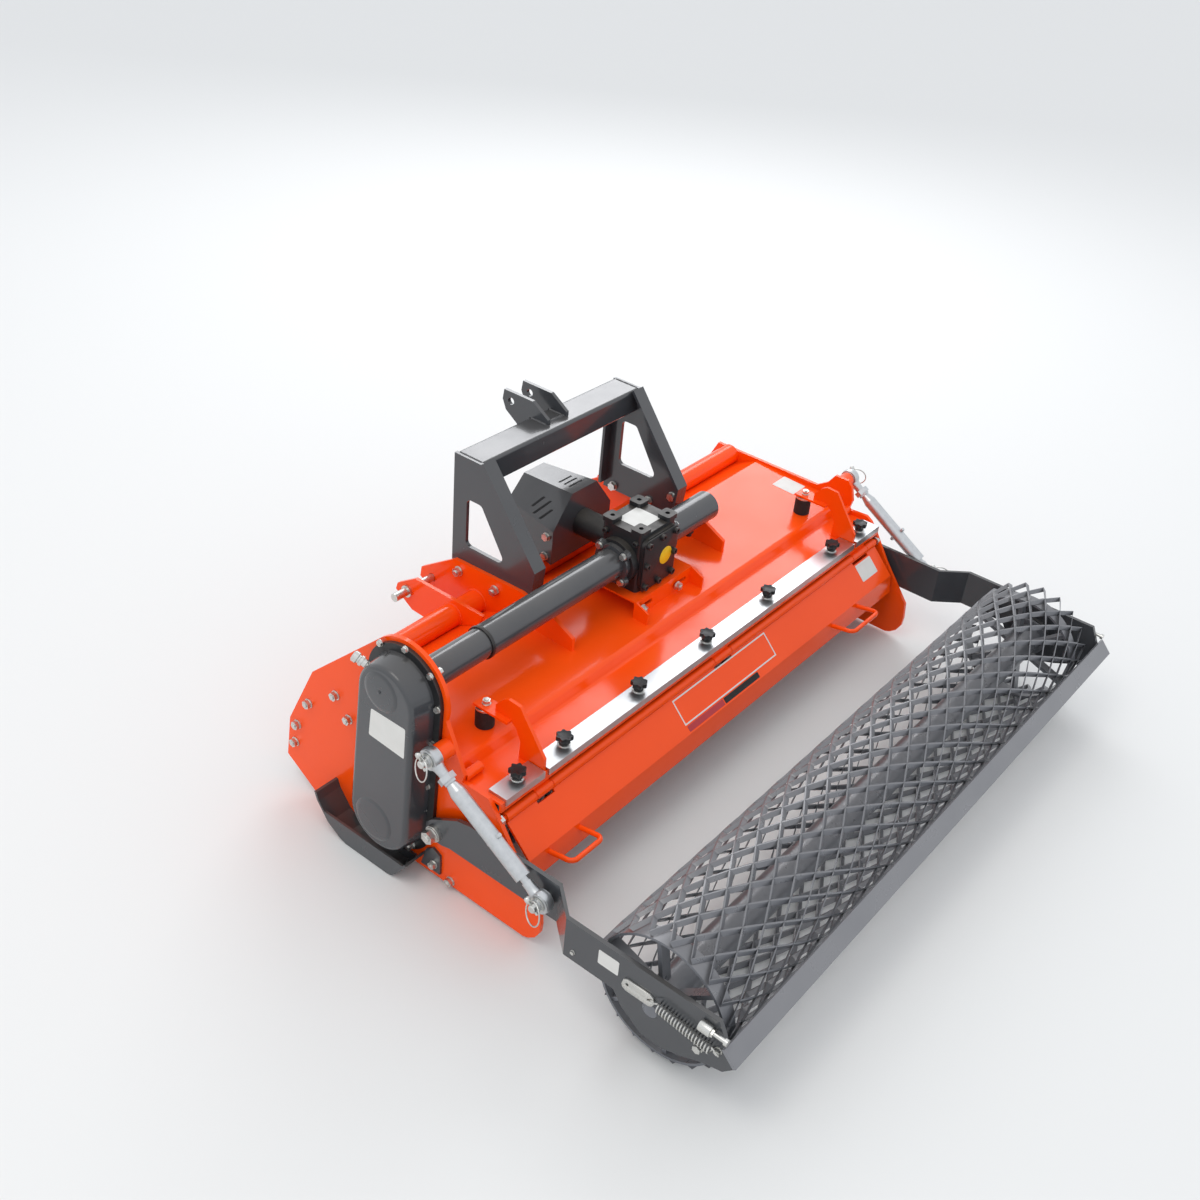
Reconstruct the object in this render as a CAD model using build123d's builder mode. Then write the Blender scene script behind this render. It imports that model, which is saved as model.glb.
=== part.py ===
from build123d import *
import os
from math import cos, hypot, pi, radians, sin

# Stone burier for a three point hitch: a hooded rotor with a selector grid, a rear door and a
# mesh packing roller on two arms. Millimetres, +Z up, +Y forwards to the tractor, +X to the
# machine's right. X = 0 is the middle of the frame, Y = 0 is half way between the hitch noses
# and the scraper's edge, and Z = 0 is the ground under the skids and the roller.

# Overall sizes
half_width = 800.0          # middle of the machine to the outer face of a side plate
half_length = 696.0         # Y of the hitch noses, and of the scraper's edge behind
plate_t = 10.0              # side plates, hitch plates and mast plates
plate_low = 7.0             # lower edge of the side plates above the ground
sheet_t = 6.0               # hood and door sheet

# Hood profile, as the corners of the bent sheet's top face
skirt_y = 632.0             # lower end of the front skirt
skirt_z = 105.0
brow_y = 560.0              # bend between the skirt and the brow
brow_z = 292.0
deck_front_y = 409.0
deck_front_z = 362.0
deck_rear_y = 121.0         # edge of the step down to the shelf
deck_rear_z = 350.0
step_run = 14.0
shelf_z = 323.0             # shelf that carries the clamp strips
shelf_rear_y = -12.0
apron_z = 299.0             # lower end of the flange behind the shelf

# Side plates
arc_y = 252.0               # centre of the round top that carries the gear case
arc_z = 490.0
arc_r = 116.0
plate_front_top_y = 549.0
plate_front_top_z = 368.0

# Tubes across the frame
front_tube_y = 504.0
front_tube_z = 348.0
front_tube_r = 30.0
drive_y = 264.0             # gearbox output and the torque tubes
drive_z = 474.0
torque_tube_r = 39.0
torque_joint_x = 240.0 - half_width     # left of it the torque tube is thinner
torque_flange_x = 104.0     # outer faces of the tubes' bolted flanges
right_tube_end_x = 300.0

# Hitch and mast
mast_x = 305.0              # outer faces of the mast plates
hitch_outer_x = 400.0       # outer faces of the outer hitch plates
hitch_pin_r = 11.0
hitch_pin_y = half_length - 41.0
hitch_pin_z = 345.0
hitch_top_z = 392.0
mast_front_y = 598.0
mast_rear_y = 514.0
mast_top_z = 720.0
mast_foot_z = 396.0
mast_heel_y = 352.0
mast_tube_h = 68.0
clevis_gap = 60.0           # between the two top link plates
clevis_t = 10.0
clevis_top_z = 765.0
clevis_nose_y = 684.0
clevis_hole_r = 9.75
clevis_hole_y = 660.0
clevis_hole_z = 740.0

# Gearbox, guard and gear case
gearbox_half_x = 70.0
gearbox_front_y = 324.0
gearbox_rear_y = 204.0
gearbox_low_z = 399.0
gearbox_top_z = 560.0
input_shaft_r = 17.4
input_tip_y = 610.0
guard_rear_y = 439.0
guard_front_y = 606.0
guard_t = 3.0
case_depth = 66.0           # how far the gear case stands out from the side plate
case_low_y = 268.0          # centre of the gear case's round lower end
case_low_z = 150.0
case_r = 106.0

# Rotor
rotor_y = 266.0
rotor_z = 172.0
rotor_tip_r = 158.0
rotor_tube_r = 52.0
rotor_disc_r = 96.0
rotor_stations = 14
rotor_gap = 12.0            # between the rotor tube and each side plate
rotor_half = half_width - plate_t - rotor_gap

# Door
hinge_y = -10.0
hinge_z = 276.0
hinge_r = 12.0
hinge_rod_r = 6.0
door_gap = 15.0             # between the door and each side plate
door_half = half_width - plate_t - door_gap
door_bend_y = -85.0
door_bend_z = 200.0
door_low_y = -94.0
door_low_z = 148.0

# Roller and its arms
roller_y = -486.0
roller_z = 160.0
roller_r = 160.0
mesh_t = 5.0
arm_pivot_y = 140.0
arm_pivot_z = 169.0
arm_pivot_r = 12.0
arm_t = 10.0
arm_gap = 16.0              # between the side plate's outer face and the front of the arm
arm_top_z = 252.0
arm_low_z = 150.0
arm_jog_front_y = -205.0
arm_jog_rear_y = -270.0
arm_jog = 56.0              # sideways step of the arm at its jog
arm_rear_x = half_width + arm_gap + arm_t + arm_jog
roller_gap = 24.0           # between the end of the roller and each arm
roller_half = arm_rear_x - arm_t - roller_gap
arm_end_y = -636.0
scraper_half = arm_rear_x + 16.0

# Screw adjusters between the side plates and the arms
upper_pin_y = 133.0
upper_pin_z = 398.0
lower_pin_y = -180.0
lower_pin_z = 208.0
adjuster_x = half_width + 48.0          # middle plane of each adjuster
adjuster_pin_r = 9.0
eye_r = 24.0
eye_w = 22.0
barrel_r = 17.5
rod_r = 9.0

fit = 0.3                   # gap between faces of pieces that move on each other

os.makedirs("parts", exist_ok=True)


def save(piece, label):
    piece.label = label
    export_step(piece, "parts/" + label + ".step")


def sheet_outline(points, thickness):
    """Close a bent sheet's outline, with its thickness on the left of the line of travel."""
    count = len(points)
    inner = []
    for i in range(count):
        before = points[max(i - 1, 0)]
        after = points[min(i + 1, count - 1)]
        here = points[i]
        normals = []
        for start, end in ((before, here), (here, after)):
            run = hypot(end[0] - start[0], end[1] - start[1])
            if run > 0.0:
                normals.append(((start[1] - end[1]) / run, (end[0] - start[0]) / run))
        sum_y = sum(normal[0] for normal in normals)
        sum_z = sum(normal[1] for normal in normals)
        scale = thickness * len(normals) / (sum_y * sum_y + sum_z * sum_z)
        inner.append((here[0] + sum_y * scale, here[1] + sum_z * scale))
    return list(points) + inner[::-1]


# Side plates: a straight lower edge, a slanted nose and tail, and on the left a round head
plate_bottom = [
    (554.0, plate_low),
    (650.0, 70.0),
    (635.0, 189.0),
    (plate_front_top_y, plate_front_top_z),
]
plate_tail = [
    (16.0, 328.0),
    (-7.0, 299.0),
    (-56.0, 226.0),
    (-141.0, 120.0),
    (-146.0, 72.0),
    (-144.0, 47.0),
    (-133.0, 27.0),
    (-116.0, 13.0),
    (-101.0, plate_low),
]
left_head = [
    (arc_y + arc_r * cos(radians(50.0)), arc_z + arc_r * sin(radians(50.0))),
    (arc_y, arc_z + arc_r),
    (arc_y - arc_r * cos(radians(-14.0)), arc_z - arc_r * sin(radians(14.0))),
]

with BuildPart() as side_plate_left:
    with BuildSketch(Plane.YZ.offset(-half_width)):
        with BuildLine():
            Polyline(plate_bottom + [left_head[0]])
            ThreePointArc(*left_head)
            Polyline([left_head[2], (85.0, 346.0), (89.0, 328.0)] + plate_tail + [plate_bottom[0]])
        make_face()
    extrude(amount=plate_t)
    with BuildSketch(Plane.YZ.offset(-half_width)):
        with Locations((rotor_y, rotor_z)):
            Circle(rotor_tube_r + 6.0)
    extrude(amount=plate_t, mode=Mode.SUBTRACT)
save(side_plate_left.part, "side_plate_left")

right_crest = [(204.0, 368.0), (171.0, 390.0), (151.0, 420.0), (110.0, 420.0), (94.0, 404.0), (84.0, 364.0),
               (91.0, 334.0), (33.0, 338.0)]
with BuildPart() as side_plate_right:
    with BuildSketch(Plane.YZ.offset(half_width - plate_t)):
        with BuildLine():
            Polyline(plate_bottom + right_crest + plate_tail + [plate_bottom[0]])
        make_face()
    extrude(amount=plate_t)
    with BuildSketch(Plane.YZ.offset(half_width - plate_t)):
        with Locations((rotor_y, rotor_z)):
            Circle(rotor_tube_r + 6.0)
    extrude(amount=plate_t, mode=Mode.SUBTRACT)
save(side_plate_right.part, "side_plate_right")

# Hood: one bent sheet from the front skirt over the deck to the shelf and its rear flange
inner_half = half_width - plate_t
hood_line = [
    (skirt_y, skirt_z),
    (brow_y, brow_z),
    (deck_front_y, deck_front_z),
    (deck_rear_y, deck_rear_z),
    (deck_rear_y - step_run, shelf_z),
    (shelf_rear_y, shelf_z),
    (shelf_rear_y, apron_z),
]
hood_section = sheet_outline(hood_line, sheet_t)
brow_bend = (hood_section[1], hood_section[-2])
deck_bend = (hood_section[3], hood_section[-4])
step_bend = (hood_section[-5], hood_section[4])
bend_radius = 8.0           # on the inside of a bend
with BuildPart() as hood_shell:
    with BuildSketch(Plane.YZ.offset(-inner_half)):
        with BuildLine():
            Polyline(hood_section, close=True)
        make_face()
        with Locations((front_tube_y, front_tube_z)):
            Circle(front_tube_r, mode=Mode.SUBTRACT)
    extrude(amount=2.0 * inner_half)
    for outside, inside in (brow_bend, deck_bend, step_bend):
        for (corner_y, corner_z), radius in ((outside, bend_radius + sheet_t), (inside, bend_radius)):
            long_edges = hood_shell.edges().filter_by(Axis.X)
            fillet(long_edges.sort_by_distance((0.0, corner_y, corner_z))[0], radius)
save(hood_shell.part, "hood_shell")

# Round front tube between the side plates
with BuildPart() as front_tube:
    with BuildSketch(Plane.YZ.offset(-inner_half)):
        with Locations((front_tube_y, front_tube_z)):
            Circle(front_tube_r)
            Circle(front_tube_r - 5.0, mode=Mode.SUBTRACT)
    extrude(amount=2.0 * inner_half)
save(front_tube.part, "front_tube")

# Left and right torque tubes, from the gearbox to the gear case and to a closed stub
boss_t = 20.0               # round boss on each side of the gearbox, behind the tube's flange
boss_x = gearbox_half_x + boss_t
lobe_r = 13.0
with BuildPart() as torque_tube_left:
    with BuildSketch(Plane.YZ.offset(-inner_half)):
        with Locations((drive_y, drive_z)):
            Circle(torque_tube_r - 2.5)
    extrude(amount=inner_half + torque_joint_x)
    with BuildSketch(Plane.YZ.offset(torque_joint_x)):
        with Locations((drive_y, drive_z)):
            Circle(torque_tube_r)
    extrude(amount=-torque_joint_x - boss_x)
    with BuildSketch(Plane.YZ.offset(-torque_flange_x)):
        with Locations((drive_y, drive_z)):
            Circle(torque_tube_r + 11.0)
            with PolarLocations(torque_tube_r + 13.0, 4, start_angle=45.0):
                Circle(lobe_r)
    extrude(amount=torque_flange_x - boss_x)
save(torque_tube_left.part, "torque_tube_left")

with BuildPart() as torque_tube_right:
    with BuildSketch(Plane.YZ.offset(boss_x)):
        with Locations((drive_y, drive_z)):
            Circle(torque_tube_r)
    extrude(amount=right_tube_end_x - boss_x)
    with BuildSketch(Plane.YZ.offset(boss_x)):
        with Locations((drive_y, drive_z)):
            Circle(torque_tube_r + 11.0)
            with PolarLocations(torque_tube_r + 13.0, 4, start_angle=45.0):
                Circle(lobe_r)
    extrude(amount=torque_flange_x - boss_x)
save(torque_tube_right.part, "torque_tube_right")

# Inner hitch plates: from the nose behind the pin, over the front tube, to a toe on the deck
deck_slope = (deck_front_z - deck_rear_z) / (deck_front_y - deck_rear_y)
toe_y = 200.0
toe_deck_z = deck_rear_z + (toe_y - deck_rear_y) * deck_slope
nose_y = half_length
inner_plate = [
    (toe_y, toe_deck_z),
    (deck_front_y, deck_front_z),
    (brow_y, brow_z),
    (nose_y - 56.0, 296.0),
    (nose_y, 332.0),
    (nose_y - 4.0, 360.0),
    (nose_y - 115.0, 435.0),
    (363.0, 442.0),
    (267.0, 421.0),
    (toe_y, 388.0),
]
outer_plate = [
    (420.0, deck_front_z - 4.0),
    (brow_y, brow_z),
    (nose_y - 56.0, 296.0),
    (nose_y, 332.0),
    (nose_y - 6.0, 352.0),
    (nose_y - 66.0, hitch_top_z),
    (406.0, hitch_top_z),
]
with BuildPart() as hitch_inner_plates:
    for face_x in (-mast_x - plate_t, mast_x):
        with BuildSketch(Plane.YZ.offset(face_x)):
            with BuildLine():
                Polyline(inner_plate, close=True)
            make_face()
            with Locations((front_tube_y, front_tube_z)):
                Circle(front_tube_r + fit, mode=Mode.SUBTRACT)
            with Locations((hitch_pin_y, hitch_pin_z)):
                Circle(hitch_pin_r + fit, mode=Mode.SUBTRACT)
        extrude(amount=plate_t)
save(hitch_inner_plates.part, "hitch_inner_plates")

with BuildPart() as hitch_outer_plates:
    for face_x in (-hitch_outer_x, hitch_outer_x - plate_t):
        with BuildSketch(Plane.YZ.offset(face_x)):
            with BuildLine():
                Polyline(outer_plate, close=True)
            make_face()
            with Locations((front_tube_y, front_tube_z)):
                Circle(front_tube_r + fit, mode=Mode.SUBTRACT)
            with Locations((hitch_pin_y, hitch_pin_z)):
                Circle(hitch_pin_r + fit, mode=Mode.SUBTRACT)
        extrude(amount=plate_t)
save(hitch_outer_plates.part, "hitch_outer_plates")

# Lower hitch pins: a head inside the inner plate, a collar on the outer plate and a free end
pin_free_end = 46.0
pin_head_t = 8.0
pin_collar_t = 6.0
collar_end_x = hitch_outer_x + pin_collar_t
with BuildPart() as hitch_pins:
    for side in (-1.0, 1.0):
        for start_x, end_x, radius in (
            (mast_x - pin_head_t, mast_x, hitch_pin_r + 6.0),
            (mast_x, hitch_outer_x, hitch_pin_r - 0.5),
            (hitch_outer_x, collar_end_x, hitch_pin_r + 5.0),
            (collar_end_x, hitch_outer_x + pin_free_end, hitch_pin_r),
        ):
            with BuildSketch(Plane.YZ.offset(side * start_x)):
                with Locations((hitch_pin_y, hitch_pin_z)):
                    Circle(radius)
            extrude(amount=side * (end_x - start_x))
save(hitch_pins.part, "hitch_pins")

# Mast plates with a rounded triangular window and a bolted foot inside the hitch plates
mast_plate = [
    (mast_front_y, mast_foot_z),
    (mast_front_y, mast_top_z),
    (mast_rear_y, mast_top_z),
    (mast_heel_y - 10.0, 500.0),
    (mast_heel_y, mast_foot_z),
]
mast_window = [(555.0, 612.0), (508.0, 612.0), (424.0, 482.0), (555.0, 482.0)]
with BuildPart() as mast_plates:
    for face_x in (-mast_x, mast_x - plate_t):
        with BuildSketch(Plane.YZ.offset(face_x)):
            with BuildLine():
                Polyline(mast_plate, close=True)
            make_face()
        extrude(amount=plate_t)
        with BuildSketch(Plane.YZ.offset(face_x)):
            with BuildLine():
                FilletPolyline(*mast_window, radius=14.0, close=True)
            make_face()
        extrude(amount=plate_t, mode=Mode.SUBTRACT)
save(mast_plates.part, "mast_plates")

# Flat bars welded on the rear edges of the mast plates, and inside their front edges
flange_t = 8.0
rear_flange_w = 40.0
front_flange_w = 26.0
rear_edge = [(mast_heel_y, mast_foot_z), (mast_heel_y - 10.0, 500.0), (mast_rear_y, mast_top_z)]
flange_section = sheet_outline(rear_edge, flange_t)
front_flange_h = mast_top_z - mast_tube_h - mast_foot_z - 20.0
front_flange_mid_z = mast_foot_z + 20.0 + front_flange_h / 2.0
with BuildPart() as mast_flanges:
    for side in (-1.0, 1.0):
        with BuildSketch(Plane.YZ.offset(side * mast_x)):
            with BuildLine():
                Polyline(flange_section, close=True)
            make_face()
        extrude(amount=-side * rear_flange_w)
        with BuildSketch(Plane.YZ.offset(side * (mast_x - plate_t))):
            with Locations((mast_front_y - flange_t / 2.0, front_flange_mid_z)):
                Rectangle(flange_t, front_flange_h)
        extrude(amount=-side * front_flange_w)
save(mast_flanges.part, "mast_flanges")

# Square tube across the top of the mast
with BuildPart() as mast_tube:
    with BuildSketch(Plane.YZ.offset(-mast_x + plate_t)):
        with Locations(((mast_front_y + mast_rear_y) / 2.0, mast_top_z - mast_tube_h / 2.0)):
            RectangleRounded(mast_front_y - mast_rear_y, mast_tube_h, 8.0)
            Rectangle(mast_front_y - mast_rear_y - 12.0, mast_tube_h - 12.0, mode=Mode.SUBTRACT)
    extrude(amount=2.0 * (mast_x - plate_t))
save(mast_tube.part, "mast_tube")

# Two top link plates notched over the tube
clevis_plate = [
    (539.0, mast_top_z),
    (539.0, 732.0),
    (591.0, clevis_top_z),
    (clevis_nose_y, clevis_top_z),
    (clevis_nose_y + 4.0, 738.0),
    (clevis_nose_y - 8.0, 712.0),
    (mast_front_y, 660.0),
    (mast_front_y, mast_top_z),
]
with BuildPart() as clevis_plates:
    for face_x in (-clevis_gap / 2.0 - clevis_t, clevis_gap / 2.0):
        with BuildSketch(Plane.YZ.offset(face_x)):
            with BuildLine():
                Polyline(clevis_plate, close=True)
            make_face()
            with Locations((clevis_hole_y, clevis_hole_z)):
                Circle(clevis_hole_r, mode=Mode.SUBTRACT)
        extrude(amount=clevis_t)
save(clevis_plates.part, "clevis_plates")

# Gearbox: cast body, four lugs on top, a cover behind and an input neck in front
neck_r = 36.0
neck_end_y = guard_rear_y
journal_r = input_shaft_r - 0.5
journal_depth = 28.0
lug_t = 12.0
body_y = (gearbox_front_y + gearbox_rear_y) / 2.0
with BuildPart() as gearbox:
    with BuildSketch(Plane.XY.offset(gearbox_low_z)):
        with Locations((0.0, body_y)):
            RectangleRounded(2.0 * gearbox_half_x, gearbox_front_y - gearbox_rear_y, 10.0)
    extrude(amount=gearbox_top_z - gearbox_low_z)
    with BuildSketch(Plane.XY.offset(gearbox_top_z)):
        with Locations((0.0, body_y)):
            with GridLocations(106.0, 88.0, 2, 2):
                RectangleRounded(40.0, 36.0, 7.0)
                Circle(6.0, mode=Mode.SUBTRACT)
    extrude(amount=lug_t)
    with BuildSketch(Plane.YZ.offset(-boss_x)):
        with Locations((drive_y, drive_z)):
            Circle(torque_tube_r + 19.0)
    extrude(amount=2.0 * boss_x)
    with BuildSketch(Plane.XZ.offset(-gearbox_rear_y)):
        with Locations((0.0, (gearbox_low_z + gearbox_top_z) / 2.0)):
            RectangleRounded(136.0, 142.0, 22.0)
    extrude(amount=8.0)
    with BuildSketch(Plane.XZ.offset(-gearbox_front_y)):
        with Locations((0.0, drive_z)):
            Circle(neck_r + 16.0)
    extrude(amount=-14.0)
    with BuildSketch(Plane.XZ.offset(-gearbox_front_y)):
        with Locations((0.0, drive_z)):
            Circle(neck_r)
    extrude(amount=gearbox_front_y - neck_end_y)
    with BuildSketch(Plane.XZ.offset(-neck_end_y)):
        with Locations((0.0, drive_z)):
            Circle(journal_r + 0.08)
    extrude(amount=journal_depth + 2.0, mode=Mode.SUBTRACT)
save(gearbox.part, "gearbox")

# Splined input shaft: a journal in the neck, a collar, and the splines' round outline with a
# lock groove near the tip
collar_y = neck_end_y + 0.4
collar_front_y = 447.0
with BuildPart() as input_shaft:
    for start_y, end_y, radius in (
        (neck_end_y - journal_depth, collar_y, journal_r),
        (collar_y, collar_front_y, input_shaft_r + 5.0),
        (collar_front_y, input_tip_y, input_shaft_r),
    ):
        with BuildSketch(Plane.XZ.offset(-start_y)):
            with Locations((0.0, drive_z)):
                Circle(radius)
        extrude(amount=start_y - end_y)
    with BuildSketch(Plane.XZ.offset(-input_tip_y + 30.0)):
        with Locations((0.0, drive_z)):
            Circle(input_shaft_r + 1.0)
            Circle(input_shaft_r - 3.0, mode=Mode.SUBTRACT)
    extrude(amount=8.0, mode=Mode.SUBTRACT)
save(input_shaft.part, "input_shaft")

# Gearbox bracket: a channel across the deck, its rear web slotted and closed by two ears
bracket_left = -100.0
bracket_right = 135.0
bracket_t = 5.0
bracket_front_y = 340.0
web_y = 179.0
ear_y = 141.0


def deck_z(y):
    return deck_rear_z + (y - deck_rear_y) * deck_slope


bracket_line = [
    (bracket_front_y, deck_z(bracket_front_y)),
    (bracket_front_y, gearbox_low_z),
    (web_y, gearbox_low_z),
    (web_y, deck_z(web_y)),
]
ear_outline = [(web_y, deck_z(web_y)), (web_y, gearbox_low_z), (ear_y, 382.0), (ear_y, deck_z(ear_y))]
below_deck = [
    (bracket_front_y + 5.0, deck_z(bracket_front_y + 5.0)),
    (ear_y - 5.0, deck_z(ear_y - 5.0)),
    (ear_y - 5.0, shelf_z),
    (bracket_front_y + 5.0, shelf_z),
]
with BuildPart() as gearbox_bracket:
    with BuildSketch(Plane.YZ.offset(bracket_left)):
        with BuildLine():
            Polyline(sheet_outline(bracket_line, bracket_t), close=True)
        make_face()
    extrude(amount=bracket_right - bracket_left)
    for face_x in (bracket_left, bracket_right - bracket_t):
        with BuildSketch(Plane.YZ.offset(face_x)):
            with BuildLine():
                Polyline(ear_outline, close=True)
            make_face()
        extrude(amount=bracket_t)
    with BuildSketch(Plane.XZ.offset(-web_y)):
        with Locations((-58.0, 375.0), (84.0, 375.0)):
            SlotOverall(56.0, 11.0)
    extrude(amount=-bracket_t, mode=Mode.SUBTRACT)
    with BuildSketch(Plane.YZ.offset(bracket_left)):
        with BuildLine():
            Polyline(below_deck, close=True)
        make_face()
    extrude(amount=bracket_right - bracket_left, mode=Mode.SUBTRACT)
save(gearbox_bracket.part, "gearbox_bracket")

# Guard over the input shaft: a lofted, faceted sheet cowl, open below and in front
guard_rear = [(-114.0, 392.0), (-114.0, 488.0), (-48.0, 572.0), (48.0, 572.0), (114.0, 488.0), (114.0, 392.0)]
guard_front = [(-94.0, 410.0), (-94.0, 505.0), (-38.0, 560.0), (38.0, 560.0), (94.0, 505.0), (94.0, 410.0)]
with BuildPart() as pto_guard:
    for plane_y, corners in ((guard_rear_y, guard_rear), (guard_front_y, guard_front)):
        with BuildSketch(Plane.XZ.offset(-plane_y)):
            with BuildLine():
                Polyline(corners, close=True)
            make_face()
    loft()
    for plane_y, corners in ((guard_rear_y + guard_t, guard_rear), (guard_front_y + guard_t, guard_front)):
        with BuildSketch(Plane.XZ.offset(-plane_y)):
            with BuildLine():
                Polyline(corners, close=True)
            make_face()
            offset(amount=-guard_t)
            with Locations((0.0, 380.0)):
                Rectangle(170.0, 80.0)
    loft(mode=Mode.SUBTRACT)
    with BuildSketch(Plane.XZ.offset(-guard_rear_y)):
        with Locations((0.0, drive_z)):
            Circle(input_shaft_r + 9.0)
    extrude(amount=-guard_t, mode=Mode.SUBTRACT)
save(pto_guard.part, "pto_guard")

# Gear case: a bolted flange and a pressed cover, each the hull of two circles
def case_outline(grow):
    CenterArc((arc_y, arc_z), case_r + grow, 0.0, 360.0)
    CenterArc((case_low_y + 8.0, case_low_z), case_r + 6.0 + grow, 0.0, 360.0)


flange_depth = 10.0
with BuildPart() as gear_case_flange:
    with BuildSketch(Plane.YZ.offset(-half_width)):
        with BuildLine():
            case_outline(0.0)
        make_hull()
        with Locations((rotor_y, rotor_z)):
            Circle(25.0 + fit, mode=Mode.SUBTRACT)
    extrude(amount=-flange_depth)
save(gear_case_flange.part, "gear_case_flange")

with BuildPart() as gear_case_cover:
    for depth, grow in ((flange_depth, -18.0), (case_depth, -27.0)):
        with BuildSketch(Plane.YZ.offset(-half_width - depth)):
            with BuildLine():
                case_outline(grow)
            make_hull()
    loft()
    fillet(gear_case_cover.faces().sort_by(Axis.X)[0].edges(), 12.0)
save(gear_case_cover.part, "gear_case_cover")

# Rotor bearing housing on the right side plate
stub_r = 25.0
bearing_depth = 34.0
bearing_flange_r = 78.0
with BuildPart() as rotor_bearing:
    with BuildSketch(Plane.YZ.offset(half_width)):
        with Locations((rotor_y, rotor_z)):
            Circle(bearing_flange_r)
    extrude(amount=10.0)
    with BuildSketch(Plane.YZ.offset(half_width)):
        with Locations((rotor_y, rotor_z)):
            Circle(46.0)
    extrude(amount=bearing_depth)
    with BuildSketch(Plane.YZ.offset(half_width)):
        with Locations((rotor_y, rotor_z)):
            Circle(stub_r + fit)
    extrude(amount=bearing_depth - 5.0, mode=Mode.SUBTRACT)
save(rotor_bearing.part, "rotor_bearing")

# Rotor: tube, stub shafts and blade discs
disc_t = 10.0
disc_span = 2.0 * (rotor_half - 43.0)
disc_pitch = disc_span / (rotor_stations - 1)
with BuildPart() as rotor_tube:
    with BuildSketch(Plane.YZ.offset(-rotor_half)):
        with Locations((rotor_y, rotor_z)):
            Circle(rotor_tube_r)
    extrude(amount=2.0 * rotor_half)
    with BuildSketch(Plane.YZ.offset(-half_width - flange_depth + fit)):
        with Locations((rotor_y, rotor_z)):
            Circle(stub_r)
    extrude(amount=2.0 * half_width + flange_depth + bearing_depth - 5.0 - 2.0 * fit)
    for station in range(rotor_stations):
        disc_x = -disc_span / 2.0 + station * disc_pitch
        with BuildSketch(Plane.YZ.offset(disc_x - disc_t / 2.0)):
            with Locations((rotor_y, rotor_z)):
                Circle(rotor_disc_r)
        extrude(amount=disc_t)
save(rotor_tube.part, "rotor_tube")

# Blades: four hooked flat blades on each disc, each disc turned on from the last
blade_t = 12.0
blade_root_r = 62.0
blade_turn = 26.0
blade_shape = [
    (blade_root_r, -16.0),
    (118.0, -20.0),
    (rotor_tip_r - 12.0, -34.0),
    (rotor_tip_r - 6.0, -22.0),
    (rotor_tip_r - 12.0, 8.0),
    (118.0, 18.0),
    (blade_root_r, 16.0),
]
with BuildPart() as rotor_blades:
    for station in range(rotor_stations):
        disc_x = -disc_span / 2.0 + station * disc_pitch
        side = 1.0 if station % 2 == 0 else -1.0
        with BuildSketch(Plane.YZ.offset(disc_x + side * disc_t / 2.0)):
            with Locations((rotor_y, rotor_z)):
                with PolarLocations(0.0, 4, start_angle=blade_turn * station):
                    Polygon(*blade_shape, align=None)
        extrude(amount=side * blade_t)
save(rotor_blades.part, "rotor_blades")

# Selector grid: round tines hanging behind the rotor from a bar under the shelf
grid_y = 85.0
grid_bar_z = 298.0
grid_bar_r = 14.0
grid_tip_z = 40.0
tine_r = 8.0
tine_pitch = 60.0
tine_count = int(2.0 * inner_half / tine_pitch)
with BuildPart() as selector_grid:
    with BuildSketch(Plane.XY.offset(grid_tip_z)):
        with Locations((0.0, grid_y)):
            with GridLocations(tine_pitch, 1.0, tine_count, 1):
                Circle(tine_r)
    extrude(amount=grid_bar_z - grid_tip_z)
    with BuildSketch(Plane.YZ.offset(-inner_half)):
        with Locations((grid_y, grid_bar_z)):
            Circle(grid_bar_r)
    extrude(amount=2.0 * inner_half)
save(selector_grid.part, "selector_grid")

# Skids: a box shoe on each side plate, open on top, with a raised front and a tab behind
skid_w = 66.0
skid_t = 6.0
skid_wall_z = 55.0
shoe_sole = [(482.0, 98.0), (474.0, 76.0), (439.0, 30.0), (399.0, 6.0), (380.0, 0.0), (245.0, 0.0), (230.0, 7.0),
             (186.0, 62.0)]
shoe_inside = [(193.0, 62.0), (234.0, 11.5), (247.0, skid_t), (379.0, skid_t), (396.0, 11.5), (434.0, 34.0),
               (468.0, 78.0), (475.0, 98.0)]
shoe_wall = [(462.0, skid_wall_z), (457.0, skid_wall_z), (439.0, 30.0), (399.0, 6.0), (380.0, 0.0), (245.0, 0.0),
             (230.0, 7.0), (191.0, skid_wall_z)]
shoe_rib = [(415.0, 32.0), (399.0, 6.0), (380.0, 0.0), (245.0, 0.0), (230.0, 7.0), (210.0, 32.0)]
shoe_tab = [(200.0, 24.0), (184.0, 78.0), (165.0, 91.0), (142.0, 80.0), (142.0, 24.0)]


def build_skid(side):
    with BuildPart() as shoe:
        for face_x, depth, outline in (
            (half_width, skid_w, shoe_sole + shoe_inside),
            (half_width + skid_w - skid_t, skid_t, shoe_wall),
            (half_width, skid_t, shoe_rib),
            (half_width, skid_t, shoe_tab),
        ):
            with BuildSketch(Plane.YZ.offset(side * face_x)):
                with BuildLine():
                    Polyline(outline, close=True)
                make_face()
            extrude(amount=side * depth)
    return shoe.part


save(build_skid(-1.0), "skid_left")
save(build_skid(1.0), "skid_right")

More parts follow.
